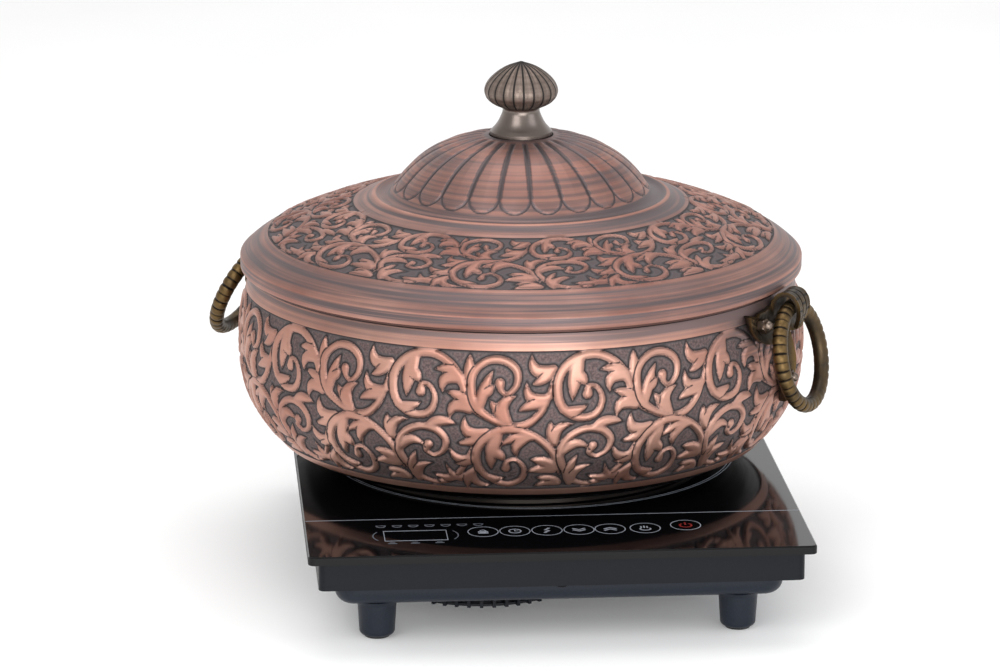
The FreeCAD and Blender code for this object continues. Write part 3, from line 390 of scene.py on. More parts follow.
def turned_points(radius, height, columns):
    """Points of a turned wall, row by row, from grids or columns of radius and height."""
    angle = 2 * np.pi * np.arange(columns) / columns
    height = np.broadcast_to(height, (len(height), columns))
    return np.stack([radius * np.cos(angle), radius * np.sin(angle), height], axis=-1).reshape(-1, 3)


def turned_relief(name, line, lift, columns, inner, base_z):
    """A turned wall whose outside is lifted point by point, closed by a plain inner wall."""
    normals = outward_normals(line)
    radius, height = line[:, :1] + normals[:, :1] * lift, line[:, 1:] + normals[:, 1:] * lift
    outer = turned_points(radius, height + base_z, columns)
    few = columns // INNER_WALL_SHARE
    inside = turned_points(inner[:, :1], inner[:, 1:] + base_z, few)
    verts = np.vstack([outer, inside])
    verts[:, 0] += POT_AXIS.x
    verts[:, 1] += POT_AXIS.y
    faces = []
    for i in range(len(line) - 1):
        low, high = i * columns, (i + 1) * columns
        for j in range(columns):
            k = (j + 1) % columns
            faces.append((low + j, low + k, high + k, high + j))
    first = len(outer)
    for i in range(len(inner) - 1):
        low, high = first + i * few, first + (i + 1) * few
        for j in range(few):
            k = (j + 1) % few
            faces.append((low + j, high + j, high + k, low + k))
    last_outer, last_inner = first - columns, len(verts) - few
    for j in range(few):
        k = (j + 1) % few
        fine = [(j * INNER_WALL_SHARE + n) % columns for n in range(INNER_WALL_SHARE + 1)]
        faces.append(tuple(fine[::-1]) + (first + j, first + k))
        faces.append(tuple(last_outer + n for n in fine) + (last_inner + k, last_inner + j))
    return mesh_object(name, verts * MM, faces), len(inside)


def relief_attributes(made, extra, **grids):
    """Writes what the finish reads at each point; the plain inner wall takes each grid's last value."""
    for name, grid in grids.items():
        flat = np.ravel(grid)
        attribute(made, name, np.concatenate([flat, np.full(extra, flat[-1])]))


def plain_grids(rows, columns):
    """Lift, edge distance and line distance of a wall with nothing embossed on it."""
    return [np.full((rows, columns), value) for value in (0.0, NO_EDGE, NO_LINE)]


def tarnish_rows(position, columns, points):
    """Patina, painted shade and painted highlights that run between (position, value) points along a profile,
    the same all the way round.
    """
    where, values = zip(*points)
    return np.repeat(np.interp(position, where, values)[:, None], columns, 1)


# Pot jacket: the embossed copper skin round the pan

def make_jacket():
    wall = natural_spline(POT_WALL, 2000)
    fine = wall[(wall[:, 1] >= JACKET_BOTTOM) & (wall[:, 1] <= JACKET_TOP)]
    run = run_along(fine)
    end = run[-1]
    low, high = np.interp((SCROLLS_BOTTOM, SCROLLS_TOP), fine[:, 1], run)
    relief_rows = int((high - low) / POT_ROW_STEP) + 1
    below = np.linspace(0, low, ROWS_BELOW_SCROLLS)[:-1]
    above = high + np.array(ROWS_ABOVE_SCROLLS)
    above = np.append(above[above < end - 0.5], end)
    at = np.concatenate([below, np.linspace(low, high, relief_rows), above])
    line = sample_line(fine, run, at)
    columns = POT_REPEATS * POT_COLUMNS_EACH
    width = 2 * math.pi * wall[:, 0].max() / POT_REPEATS
    lift, edge, room = plain_grids(len(at), columns)
    zone = slice(len(below), len(below) + relief_rows)
    lift[zone], edge[zone], room[zone] = embossed_zone(
        width, high - low, POT_COLUMNS_EACH, relief_rows, POT_REPEATS, POT_PHASE, POT_RISE, POT_GROUND)
    # Rubbed bright on the scrolls; darker towards the lid as painted shadow under the lid's overhang
    dull_and_painted_light = tarnish_rows(at, columns, [(0, 0.2), (low - 1, 0.1), (low, 0.1), (high, 0.08), (high + 2, 0.25),
                                      (high + 4, 0.65), (high + 6, 0.85), (end - 3, 0.9), (end, 1.2)])
    angle = 360.0 * np.arange(columns) / columns
    upper = unit((line[:, 1] - SMOKE_FROM) / SMOKE_RISE)[:, None]
    for middle in BRACKET_ANGLE.values():
        away = (angle - middle + 180.0) % 360.0 - 180.0
        dull_and_painted_light += SMOKE * upper * np.exp(-(away / SMOKE_SPREAD) ** 2)[None, :]
    inner = (fine - outward_normals(fine) * JACKET_WALL)[::len(fine) // JACKET_INNER_ROWS]
    made, extra = turned_relief("copper_jacket", line, lift, columns, inner, GLASS_Z)
    relief_attributes(made, extra, relief_edge=edge, relief_crease=room, tarnish=dull_and_painted_light)
    return shade(made, 60)


# Lid: spun copper with an embossed band, a bead and a dome of petals

def petal_relief(line, columns):
    """Rounded petals on the dome: lift, dark patina in and beside the grooves, distance from the grooves."""
    run = run_along(line)[:, None]
    each = columns // PETALS
    share = (np.arange(columns) % each + 0.5) / each - 0.5
    pitch = 2 * math.pi * line[:, :1] / PETALS
    x = share[None, :] * pitch
    half = pitch / 2 - PETAL_GAP
    low_half = half[np.searchsorted(run[:, 0], PETAL_START + PETAL_ROUNDING)]
    centre = PETAL_START + low_half
    rounded = np.hypot(x, run - centre) - low_half
    outside = np.where(run < centre, rounded, np.abs(x) - half)
    beyond = unit((run - run[-1] + GROOVE_END) / GROOVE_FADE)
    climb = unit((run - centre) / GROOVE_CLIMB)
    groove = unit(1 - (outside / (GROOVE_HALF_WIDTH + GROOVE_WIDENING * climb)) ** 2) * (1 - beyond)
    smear = np.exp(-np.abs(outside) / (1.0 + 1.6 * climb)) * (1 - 0.8 * beyond)
    bulge = PETAL_RISE * unit(-outside / np.maximum(half, 0.5)) ** 0.6 * (1 - beyond)
    patina = np.maximum(1.6 * np.sqrt(groove), (0.45 + 0.5 * climb) * smear)
    line_room = 0.32 + 0.55 * np.abs(outside - 0.25) + NO_LINE * beyond
    return bulge - GROOVE_DEPTH * groove, patina, line_room


def make_lid():
    columns = LID_REPEATS * LID_COLUMNS_EACH
    flange = natural_spline(LID_FLANGE, FLANGE_ROWS)
    band = natural_spline(LID_BAND, 400)
    band_rows = int(run_along(band)[-1] / LID_ROW_STEP) + 1
    band = even_line(band, band_rows)
    dome = natural_spline(LID_DOME, 600)
    dome_run = run_along(dome)
    steps = np.concatenate([np.linspace(0, DOME_FINE_LENGTH, DOME_FINE_ROWS, endpoint=False),
                            np.linspace(DOME_FINE_LENGTH, dome_run[-1], DOME_ROWS)])
    dome = sample_line(dome, dome_run, steps)
    line = np.vstack([LID_SKIRT, flange, band, LID_BEAD, dome])
    at = run_along(line)
    first, start = len(LID_SKIRT) + len(flange), len(line) - len(dome)
    zone = slice(first, first + band_rows)
    lift, edge, room = plain_grids(len(line), columns)
    width = 2 * math.pi * band[:, 0].mean() / LID_REPEATS
    lift[zone], edge[zone], room[zone] = embossed_zone(
        width, run_along(band)[-1], LID_COLUMNS_EACH, band_rows, LID_REPEATS, LID_PHASE, LID_RISE, LID_GROUND)
    lift[start:], patina, room[start:] = petal_relief(dome, columns)
    band_at, bead_at, dome_at, end = at[first], at[first + band_rows - 1], at[start], at[-1]
    # Rubbed bright on the band; the bright lines along both edges of the skirt and on the bead's crest are
    # painted highlights, dark beside them
    dull_and_painted_light = tarnish_rows(at, columns, [
        (0, 0.9), (1.2, 0.3), (1.8, 0.1), (3.1, 0.3), (4.1, 0.85), (7.9, 0.8), (8.6, 0.05), (9.5, 0.5),
        (11, 0.8), (band_at - 9, 0.8), (band_at - 2, 0.6), (band_at, 0.1), (bead_at, 0.1),
        (bead_at + 1.5, 0.4), (bead_at + 4, 1.0), (bead_at + 9, 0.85), (bead_at + 11.6, 0.85),
        (bead_at + 12.9, 0), (bead_at + 14.3, 0), (bead_at + 15.6, 0.9), (dome_at, 1.0),
        (dome_at + 2.4, 0.8), (dome_at + 4, 0.5), (dome_at + 12, 0.5), (end - 8, 0.55), (end, 0.95)])
    dull_and_painted_light[start:] = np.maximum(dull_and_painted_light[start:], patina)
    inner = [natural_spline([(r - inset, z - LID_WALL) for r, z in points], rows)
             for points, inset, rows in LID_INSIDE]
    made, extra = turned_relief("copper_lid", line, lift, columns, np.vstack([LID_LIP] + inner), GLASS_Z)
    relief_attributes(made, extra, relief_edge=edge, relief_crease=room, tarnish=dull_and_painted_light)
    return shade(made, 50)


def make_knob_head():
    """The fluted knob: narrow grooves run from its crown to its neck."""
    columns = FLUTES * FLUTE_COLUMNS
    line = natural_spline(KNOB_HEAD, FLUTE_ROWS)
    share = np.abs((np.arange(columns) % FLUTE_COLUMNS + 0.5) / FLUTE_COLUMNS - 0.5)[None, :]
    away = share * 2 * math.pi * line[:, :1] / FLUTES
    groove = unit(1 - away / FLUTE_HALF_WIDTH)
    fade = unit(line[:, :1] / FLUTE_FULL_RADIUS)
    lift = FLUTE_BULGE * (1 - (2 * share) ** 2) * fade - FLUTE_DEPTH * groove * fade
    dull_and_painted_light = tarnish_rows(np.arange(FLUTE_ROWS), columns, [(0, 0.9), (8, 0.4), (20, 0.3), (43, 0.5)])
    made, extra = turned_relief("fluted_knob", line, lift, columns, np.array(KNOB_INSIDE), GLASS_Z + LID_TOP)
    relief_attributes(made, extra, relief_edge=FLUTE_DARK_HALF - away,
                      relief_crease=np.full_like(away, NO_LINE), tarnish=dull_and_painted_light)
    return shade(made, 60)


# Ring handles: round wire notched into short lengths on its outer side

def make_ring(side):
    points = vertex_places(frame["nodes"][side + "_ring"].data)
    centre = (points.min(0) + points.max(0)) / 2
    normal = np.linalg.svd(points - centre, full_matrices=False)[2][2]
    bpy.ops.mesh.primitive_torus_add(major_segments=RING_SEGMENTS * RING_STEPS, minor_segments=RING_SIDES,
                                     major_radius=RING_RADIUS * MM, minor_radius=RING_WIRE * MM)
    made = bpy.context.active_object
    made.name = side + "_ring_handle"
    made.data.name = made.name
    co = vertex_places(made.data) / MM
    turn = np.arctan2(co[:, 1], co[:, 0])
    hoop = np.column_stack([np.cos(turn), np.sin(turn), np.zeros(len(turn))])
    out = (co - hoop * RING_RADIUS) / RING_WIRE
    outer_side = unit((out * hoop).sum(1) * 0.8 + 0.55)
    step = np.round(turn / (2 * np.pi) * RING_SEGMENTS * RING_STEPS).astype(int) % RING_STEPS
    segment = np.round(turn / (2 * np.pi) * RING_SEGMENTS) % RING_SEGMENTS
    # Some notches are worn more than others
    worn = 1 - NOTCH_WEAR + NOTCH_WEAR * np.sin(2.4 * segment)
    depth = np.array(NOTCH_PROFILE)[step] * outer_side * worn
    co = hoop * RING_RADIUS + out * (RING_WIRE - RING_NOTCH * depth[:, None])
    made.data.vertices.foreach_set("co", (co * MM).ravel())
    down = np.array([0.0, 0, -1]) + normal * normal[2]
    down /= np.linalg.norm(down)
    across = np.cross(normal, down)
    rows = np.column_stack([down, across, normal, centre])
    made.data.transform(Matrix([*rows.tolist(), (0, 0, 0, 1)]))
    made.data.update()
    attribute(made, "relief_edge", depth * 1.2 - 0.55)
    attribute(made, "tarnish", 0.75 - 0.7 * outer_side)
    return shade(made, 50)


# Brackets: a cast leaf bolted to the wall, and a strap that curls out of it to hold the ring

def sheet_faces(rows, columns, base):
    """Quads of a thick sheet: a front grid, then a back grid of the same size, and the rim between them."""
    faces = []
    shift = rows * columns
    for i in range(rows - 1):
        for j in range(columns - 1):
            a, d = base + i * columns + j, base + (i + 1) * columns + j
            faces += [(a, a + 1, d + 1, d), (d + shift, d + 1 + shift, a + 1 + shift, a + shift)]
    loop = [(0, j) for j in range(columns)] + [(i, columns - 1) for i in range(1, rows)]
    loop += [(rows - 1, j) for j in range(columns - 2, -1, -1)] + [(i, 0) for i in range(rows - 2, 0, -1)]
    at = [base + i * columns + j for i, j in loop]
    for a, b in zip(at, at[1:] + at[:1]):
        faces.append((b, a, a + shift, b + shift))
    return faces


def cast_leaf(line, half_widths, rim):
    """A cupped leaf on the wall: front and back points as (sideways, up, out), dark cuts and dulling."""
    middle = even_line(smooth_line([(x, y, w) for (x, y), w in zip(line, half_widths)], 12), LEAF_ROWS)
    along = directions(middle[:, :2])
    side = np.column_stack([-along[:, 1], along[:, 0]])
    v = np.linspace(-1, 1, LEAF_COLUMNS)[None, :]
    off = np.abs(v)
    spot = middle[:, None, :2] + side[:, None, :] * (v * middle[:, 2:])[..., None]
    reach = np.linspace(0, 1, LEAF_ROWS)[:, None]
    cup = off ** 3 * rim * unit(reach * 3 - 0.6)
    vein = np.abs(((reach * LEAF_VEINS + off * 0.9) % 1.0) - 0.5) * 2
    cut = unit((vein - 0.72) / 0.28) * unit(1.25 - off) * unit(reach * 4 - 1)
    spine = unit(1 - off / SPINE_HALF)
    front = np.dstack([spot, PLATE_HEIGHT + cup + SPINE_RISE * spine - VEIN_DEPTH * cut])
    back = np.dstack([spot, PLATE_GAP + cup * 0.75])
    dull_and_painted_light = unit(1.0 - off ** 4 - 0.25 * spine) * np.ones_like(cup)
    return front.reshape(-1, 3), back.reshape(-1, 3), (cut - 0.5).ravel(), dull_and_painted_light.ravel()


def strap():
    """The curled strap with its engraved bricks: points as (sideways, up, out), dark cuts and dulling."""
    line = even_line(smooth_line([(n, z, w) for (n, z), w in zip(STRAP_LINE, STRAP_HALF)], 10), STRAP_ROWS)
    along = directions(line[:, :2])
    outward = np.column_stack([-along[:, 1], along[:, 0]])
    v = np.linspace(-1, 1, LEAF_COLUMNS)[None, :]
    run = np.linspace(0, run_along(line[:, :2])[-1], STRAP_ROWS)[:, None]
    across = (v + 1) / 2 * BRICK_ROWS
    offset = np.floor(np.clip(across, 0, BRICK_ROWS - 1e-6)) % 2 * 0.5
    end = np.abs((run / BRICK_LENGTH + offset) % 1.0 - 0.5) * BRICK_LENGTH
    nearest = np.round(across)
    course = np.abs(across - nearest) * 2 * STRAP_CREST_HALF / BRICK_ROWS
    course = np.where((nearest == 0) | (nearest == BRICK_ROWS), NO_LINE, course)
    away = np.minimum(BRICK_LENGTH / 2 - end, course)
    cut = unit(1 - away / BRICK_GAP)
    rim = unit((np.abs(v) - (1 - STRAP_RIM)) / STRAP_RIM)
    lift = STRAP_THICK / 2 - BRICK_CUT * cut + STRAP_RIM_RISE * rim
    grids = []
    for height in (lift, np.full(lift.shape, -STRAP_THICK / 2)):
        n = line[:, :1] + outward[:, :1] * height
        z = line[:, 1:2] + outward[:, 1:] * height
        grids.append(np.dstack([v * line[:, 2:], z, n]).reshape(-1, 3))
    dull_and_painted_light = 0.85 - 0.85 * rim * np.ones_like(lift)
    return *grids, (BRICK_GAP - away).clip(-2, 2).ravel(), dull_and_painted_light.ravel()


def make_bracket(side):
    turn = math.radians(BRACKET_ANGLE[side])
    out_way = np.array([math.cos(turn), math.sin(turn)])
    side_way = np.array([-math.sin(turn), math.cos(turn)])
    wall = natural_spline(POT_WALL, 400)
    verts, faces, cuts, dulls = [], [], [], []

    def on_wall(points):
        height = points[:, 1] + HINGE_HEIGHT
        radius = np.interp(height, wall[:, 1], wall[:, 0])
        angle = turn + points[:, 0] / radius
        radius = radius + points[:, 2]
        return np.column_stack([radius * np.cos(angle), radius * np.sin(angle), height])

    def at_hinge(points):
        flat = (HINGE_RADIUS + points[:, 2:]) * out_way + points[:, :1] * side_way
        return np.column_stack([flat, points[:, 1] + HINGE_HEIGHT])

    sheets = [(cast_leaf(*leaf), on_wall, LEAF_ROWS) for leaf in CAST_LEAVES]
    sheets.append((strap(), at_hinge, STRAP_ROWS))
    for (front, back, cut, dull_and_painted_light), placing, rows in sheets:
        faces += sheet_faces(rows, LEAF_COLUMNS, sum(len(v) for v in verts))
        verts += [placing(front), placing(back)]
        cuts += [cut, np.full(len(cut), -2.0)]
        dulls += [dull_and_painted_light, np.ones(len(dull_and_painted_light))]
    placed = (np.vstack(verts) + np.array([POT_AXIS.x, POT_AXIS.y, GLASS_Z])) * MM
    made = mesh_object(side + "_bracket_casting", placed, faces)
    attribute(made, "relief_edge", np.concatenate(cuts))
    attribute(made, "tarnish", np.concatenate(dulls))
    select_only(made)
    bpy.ops.object.mode_set(mode="EDIT")
    bpy.ops.mesh.select_all(action="SELECT")
    bpy.ops.mesh.normals_make_consistent(inside=False)
    bpy.ops.object.mode_set(mode="OBJECT")
    return shade(made, 40)


# Marks printed on the glass, drawn as thin ribbons that stand just proud of it
# Each line is its points, its width, and whether it is closed

def arc(x, y, rx, ry, start, end, count=40):
    turn = np.radians(np.linspace(start, end, count))
    return np.column_stack([x + rx * np.cos(turn), y + ry * np.sin(turn)])


def dash(x, y, half, width):
    """A level line with its middle at (x, y)."""
    return [(x - half, y), (x + half, y)], width, False


def ribbon(points, width, closed):
    """The two sides of a flat ribbon along a line on the glass."""
    p = np.array(points, float)
    ahead = np.roll(p, -1, 0) if closed else np.vstack([p[1:], p[-1:] * 2 - p[-2:-1]])
    behind = np.roll(p, 1, 0) if closed else np.vstack([p[:1] * 2 - p[1:2], p[:-1]])
    along = ahead - behind
    along /= np.linalg.norm(along, axis=1)[:, None]
    side = np.column_stack([-along[:, 1], along[:, 0]]) * width / 2
    return p + side, p - side


def make_print(name, lines, material):
    verts, faces = [], []
    for points, width, closed in lines:
        left, right = ribbon(points, width, closed)
        n, base = len(left), len(verts)
        verts += [*left, *right]
        for i in range(n if closed else n - 1):
            k = (i + 1) % n
            faces.append((base + i, base + n + i, base + n + k, base + k))
    placed = [((HOB_X + x) * MM, (HOB_FRONT + y) * MM, (GLASS_Z + PRINT_LIFT) * MM) for x, y in verts]
    made = mesh_object(name, placed, faces)
    select_only(made)
    layer = made.modifiers.new("layer", "SOLIDIFY")
    layer.thickness, layer.offset = PRINT_LIFT * MM, 0.0
    bpy.ops.object.modifier_apply(modifier=layer.name)
    finish_piece(made, "heater", "component_plastic", material)


def key_icons():
    """Plain symbols inside the keys: lock, clock, bolt, down, up and hand."""
    lock, clock, bolt, down, up, hand = KEY_X
    y = KEY_Y
    box = [(lock - 2.6, y - 3), (lock + 2.6, y - 3), (lock + 2.6, y + 0.6), (lock - 2.6, y + 0.6)]
    zigzag = [(bolt + 1.6, y + 4.6), (bolt - 1.2, y + 0.6), (bolt + 1.2, y - 0.4), (bolt - 1.8, y - 4.4)]
    lines = [(box, 1.0, True), dash(lock, y - 1.2, 2, 2.4),
             (arc(lock, y + 0.8, 1.7, 2.6, 0, 180, 12), 0.8, False),
             (arc(clock, y, 3.4, 3.8, 0, 360, 28)[:-1], 0.9, True),
             ([(clock, y + 2.4), (clock, y), (clock + 2, y)], 0.8, False),
             (zigzag, 1.5, False)]
    for x, way in ((down, -1), (up, 1)):
        for level in (y - 1.6, y + 1.2):
            foot, tip = level - way * 1.3, level + way * 1.3
            lines.append(([(x - 3.6, foot), (x, tip), (x + 3.6, foot)], 1.3, False))
    lines.append((arc(hand, y - 1.6, 3.0, 2.6, 150, 390, 14), 1.0, False))
    for i, x in enumerate((-2.2, -0.4, 1.3)):
        lines.append(([(hand + x, y + 0.4), (hand + x, y + 4.4 - 0.8 * abs(i - 1))], 0.9, False))
    return lines


def panel_lines():
    """The line across the panel, a ring round each key, the display's frame and the keys' symbols."""
    lines = [dash(0, PANEL_LINE_Y, HOB_HALF - 1.0, 0.7)]
    for x, y in [(x, KEY_Y) for x in KEY_X] + [(POWER_X, POWER_Y)]:
        lines.append((arc(x, y, KEY_RX, KEY_RY, 0, 360)[:-1], KEY_LINE, True))
    return lines + [(DISPLAY, 0.9, True)] + key_icons()


def small_marks():
    """Little marks for the settings: brackets round the display, bowls above it and bars below it."""
    lines = [(arc(x, 38, 11.5, 12.5, start, start + 80, 16), 0.7, False)
             for x, start in ((-95, 140), (-69, -40))]
    for i in range(7):
        x = -101 + 9.4 * i
        lines += [(arc(x, 58.5, 2.6, 3.4, 190, 350, 10), 1.0, False), dash(x, 58.6, 3, 0.8)]
    for x in (-96, -83, -69):
        lines += [dash(x, 23.5, 2.6, 1.2), dash(x, 25.6, 1.6, 0.8)]
    return lines


def power_lines():
    return [(arc(POWER_X, POWER_Y - 0.4, 3.4, 3.8, 125, 415, 20), 1.1, False),
            ([(POWER_X, POWER_Y + 0.4), (POWER_X, POWER_Y + 5.0)], 1.1, False)]


def zone_lines():
    return [(arc(ZONE_X, ZONE_Y, r, r, 0, 360, 181)[:-1], 0.7, True) for r in (ZONE_R, ZONE_R - ZONE_STEP)]


# Materials

SOFT = {"interpolation_type": "SMOOTHSTEP"}


def colour(text):
    """An sRGB hex colour as linear values."""
    values = [int(text[i:i + 2], 16) / 255 for i in (1, 3, 5)]
    return [v / 12.92 if v <= 0.04045 else ((v + 0.055) / 1.055) ** 2.4 for v in values] + [1.0]


def plug(node, sockets):
    """Sets a node's sockets, each to a value or to an output to link."""
    for name, value in sockets.items():
        if isinstance(value, bpy.types.NodeSocket):
            node.id_data.links.new(value, node.inputs[name])
        else:
            node.inputs[name].default_value = value


def add(tree, kind, sockets=None, **options):
    """Adds one shader node with its options and sockets, and gives its outputs."""
    made = tree.nodes.new("ShaderNode" + kind)
    for name, value in options.items():
        setattr(made, name, value)
    plug(made, sockets or {})
    return made.outputs


def ramp(node, value, low=0.0, high=1.0, start=0.0, end=1.0, **options):
    """Runs from start to end while a value runs from low to high."""
    sockets = {"Value": value, "From Min": low, "From Max": high, "To Min": start, "To Max": end}
    return node("MapRange", sockets, **options)["Result"]


def blend(node, share, *ends):
    """A mix of two colours, each a hex colour or an output."""
    first, second = (colour(end) if isinstance(end, str) else end for end in ends)
    return node("Mix", {0: share, 6: first, 7: second}, data_type="RGBA")[2]


def noise_at(node, place, scale, detail):
    return node("TexNoise", {"Vector": place, "Scale": scale, "Detail": detail})["Fac"]


def new_material(name, **sockets):
    """A material, what adds nodes to it, its shader, and the place that its patterns read."""
    material = bpy.data.materials.new(name)
    material.use_nodes = True
    node = partial(add, material.node_tree)
    shader = material.node_tree.nodes["Principled BSDF"]
    for key, value in sockets.items():
        plug(shader, {key.replace("_", " ").title().replace("Ior", "IOR"): value})
    return material, node, shader, node("TexCoord")["Object"]


def embossed_copper(name, bright, deep, ground_light, ground_dark, line_patina_and_shade, roughness):
    """Embossed copper, chemically darkened and rubbed back: pink high spots, matted brown hollows."""
    material, node, shader, place = new_material(name, metallic=0.84)
    edge = node("Attribute", attribute_name="relief_edge")["Fac"]
    crease = node("Attribute", attribute_name="relief_crease")["Fac"]
    dull_and_painted_light = node("Attribute", attribute_name="tarnish")["Fac"]
    # Streaks of the rubbing cloth, about 1.5 mm apart, run round the pot
    squash = node("Mapping", {"Vector": place, "Scale": (7.0, 7.0, 640.0)})["Vector"]
    streak = noise_at(node, squash, 1.0, 3.0)
    # Uneven rubbing over patches of some 60 mm
    patch = noise_at(node, place, 17.0, 4.0)
    # Punched matting of the ground, drawn at 1.3 mm so that it shows
    matting = noise_at(node, place, 800.0, 2.0)
    rubbed = ramp(node, patch, 0.32, 0.68)
    tone = blend(node, rubbed, deep, bright)
    # The tarnish channel darkens toward the ground colour: patina, plus painted shadow under the lid and the
    # lid's painted highlights where it runs low
    worn = ramp(node, streak, 0.3, 0.7, 0.3, 1.7)
    dulled_with_painted_light = node("Math", {0: dull_and_painted_light, 1: worn}, operation="MULTIPLY", use_clamp=True)[0]
    plain = blend(node, dulled_with_painted_light, tone, ground_light)
    # Painted shade on the rounded rims of the high spots, with brown patina left where the cloth slid over
    # them
    rim_shade_and_patina = ramp(node, edge, -2.0, -0.3, end=0.38)
    plain = blend(node, rim_shade_and_patina, plain, ground_light)
    # The hollows, with a grey bloom close to the high spots
    low = ramp(node, edge, -0.45, 0.25, **SOFT)
    speck = ramp(node, matting, 0.35, 0.65)
    ground = blend(node, speck, ground_dark, ground_light)
    halo = ramp(node, edge, 2.2, 0.9, end=0.4)
    ground = blend(node, halo, ground, "#777a7d")
    base = blend(node, low, plain, ground)
    # Dark lines round the foot of the high spots and along the engraved lines: patina in the hollows, with
    # painted shade in the creases
    rim = ramp(node, edge, 1.7, 0.2)
    foot_patina_and_shade = node("Math", {0: rim, 1: low}, operation="MULTIPLY")[0]
    away = node("Math", {0: crease}, operation="ABSOLUTE")[0]
    seam = ramp(node, away, 0.75, 0.25, end=0.92, **SOFT)
    dark = node("Math", {0: foot_patina_and_shade, 1: seam}, operation="MAXIMUM")[0]
    final = blend(node, dark, base, line_patina_and_shade)
    rough = ramp(node, low, start=roughness, end=roughness + 0.22)
    pits = node("Math", {0: matting, 1: low}, operation="MULTIPLY")[0]
    brushed = node("Math", {0: streak, 1: 0.12, 2: pits}, operation="MULTIPLY_ADD")[0]
    bump = node("Bump", {"Height": brushed, "Strength": 0.35, "Distance": 0.4 * MM})["Normal"]
    plug(shader, {"Base Color": final, "Roughness": rough, "Normal": bump})
    return material


def cast_brass(name, bright, deep, groove, roughness):
    """Sand-cast brass, darkened and rubbed: golden brown on the crowns, nearly black in the cuts."""
    material, node, shader, place = new_material(name, metallic=0.95)
    edge = node("Attribute", attribute_name="relief_edge")["Fac"]
    dull_and_painted_light = node("Attribute", attribute_name="tarnish")["Fac"]
    # Patches of patina of some 14 mm, and the sand's grain, drawn at 1.1 mm so that it shows
    patch = noise_at(node, place, 70.0, 5.0)
    grain = noise_at(node, place, 900.0, 2.0)
    uneven = ramp(node, patch, 0.35, 0.65, -0.3, 0.4)
    dulled_with_painted_light = node("Math", {0: dull_and_painted_light, 1: uneven}, operation="ADD", use_clamp=True)[0]
    tone = blend(node, dulled_with_painted_light, bright, deep)
    cut = ramp(node, edge, -0.35, 0.25, **SOFT)
    final = blend(node, cut, tone, groove)
    rough = ramp(node, grain, 0.3, 0.7, roughness - 0.06, roughness + 0.08)
    bump = node("Bump", {"Height": grain, "Strength": 0.25, "Distance": 0.3 * MM})["Normal"]
    plug(shader, {"Base Color": final, "Roughness": rough, "Normal": bump})
    return material


def mottled(name, light, dark, size_mm, rough_low, rough_high, bump_mm=0.0, **sockets):
    """A surface whose colour and gloss vary a little over patches of one real size."""
    material, node, shader, place = new_material(name, **sockets)
    noise = noise_at(node, place, 1 / MM / size_mm, 4.0)
    share = ramp(node, noise, 0.3, 0.7)
    tone = blend(node, share, dark, light)
    rough = ramp(node, share, start=rough_low, end=rough_high)
    plug(shader, {"Base Color": tone, "Roughness": rough})
    if bump_mm:
        bump = node("Bump", {"Height": noise, "Strength": 0.4, "Distance": bump_mm * MM})["Normal"]
        plug(shader, {"Normal": bump})
    return material


def spun_steel(name, dark, light, rim=None, underside_shade=None):
    """Stainless steel spun on a lathe: fine rings, drawn at 0.8 mm so that they show, soften what it mirrors.

    A pan also has a rim painted dark brown as shade in the gap under the lid, as (height, radius, colour),
    and an underside painted dark as shade and a reflection of the black glass.
    """
    material, node, shader, place = new_material(name, metallic=1.0)
    squash = node("Mapping", {"Vector": place, "Scale": (5.0, 5.0, 1200.0)})["Vector"]
    rings = noise_at(node, squash, 1.0, 2.0)
    tone = blend(node, rings, dark, light)
    # The rim that shows in the gap under the lid, painted dark brown as shade
    if rim:
        height, radius, rim_shade_colour = rim
        axis = (POT_AXIS.x * MM, POT_AXIS.y * MM, 0)
        shifted = node("VectorMath", {0: place, 1: axis}, operation="SUBTRACT")[0]
        parts = node("SeparateXYZ", {0: shifted})
        flat = node("CombineXYZ", {0: parts[0], 1: parts[1]})[0]
        reach = node("VectorMath", {0: flat}, operation="LENGTH")["Value"]
        wide = node("Math", {0: reach, 1: radius * MM}, operation="GREATER_THAN")[0]
        high = node("Math", {0: parts[2], 1: height * MM}, operation="GREATER_THAN")[0]
        rim_in_gap_shade = node("Math", {0: wide, 1: high}, operation="MULTIPLY")[0]
        tone = blend(node, rim_in_gap_shade, tone, rim_shade_colour)
    # Faces turned down, painted dark as shade and a reflection of the black glass
    if underside_shade:
        facing = node("SeparateXYZ", {0: node("NewGeometry")["Normal"]})[2]
        underside_shade_mask = ramp(node, facing, 0.0, -0.2)
        tone = blend(node, underside_shade_mask, tone, underside_shade)
    rough = ramp(node, rings, start=0.22, end=0.42)
    plug(shader, {"Base Color": tone, "Roughness": rough})
    return material


def black_glass(name):
    """Black glass-ceramic: polished on top with a faint haze of wiping marks, ground matt round its edge."""
    material, node, shader, place = new_material(name, ior=1.5, specular_ior_level=0.26,
                                                  base_color=colour("#08080a"))
    # Wiping marks of some 80 mm
    haze = noise_at(node, place, 12.0, 5.0)
    wiped = ramp(node, haze, 0.35, 0.7, 0.05, 0.1)
    facing = node("SeparateXYZ", {0: node("NewGeometry")["Normal"]})[2]
    edge = ramp(node, facing, 0.9, 0.3)
    rough = node("Mix", {0: edge, 2: wiped, 3: 0.6})[0]
    plug(shader, {"Roughness": rough})
    return material


# Embossed metals: bright, deep, light ground, dark ground, dark line of patina and painted shade, roughness
copper = embossed_copper("embossed_antique_copper",
                         "#cb9d8b", "#ad7a69", "#786664", "#574c4c", "#332c2d", 0.44)
lid_copper = embossed_copper("embossed_antique_copper_lid",
                             "#bd8f80", "#97675a", "#675b5c", "#655c5e", "#423c3d", 0.48)
bronze = embossed_copper("rubbed_bronze_knob", "#998a81", "#83736a", "#574b43", "#3d3633", "#2c2826", 0.46)
brass = cast_brass("cast_antique_brass", "#6c5738", "#40382f", "#221d18", 0.44)

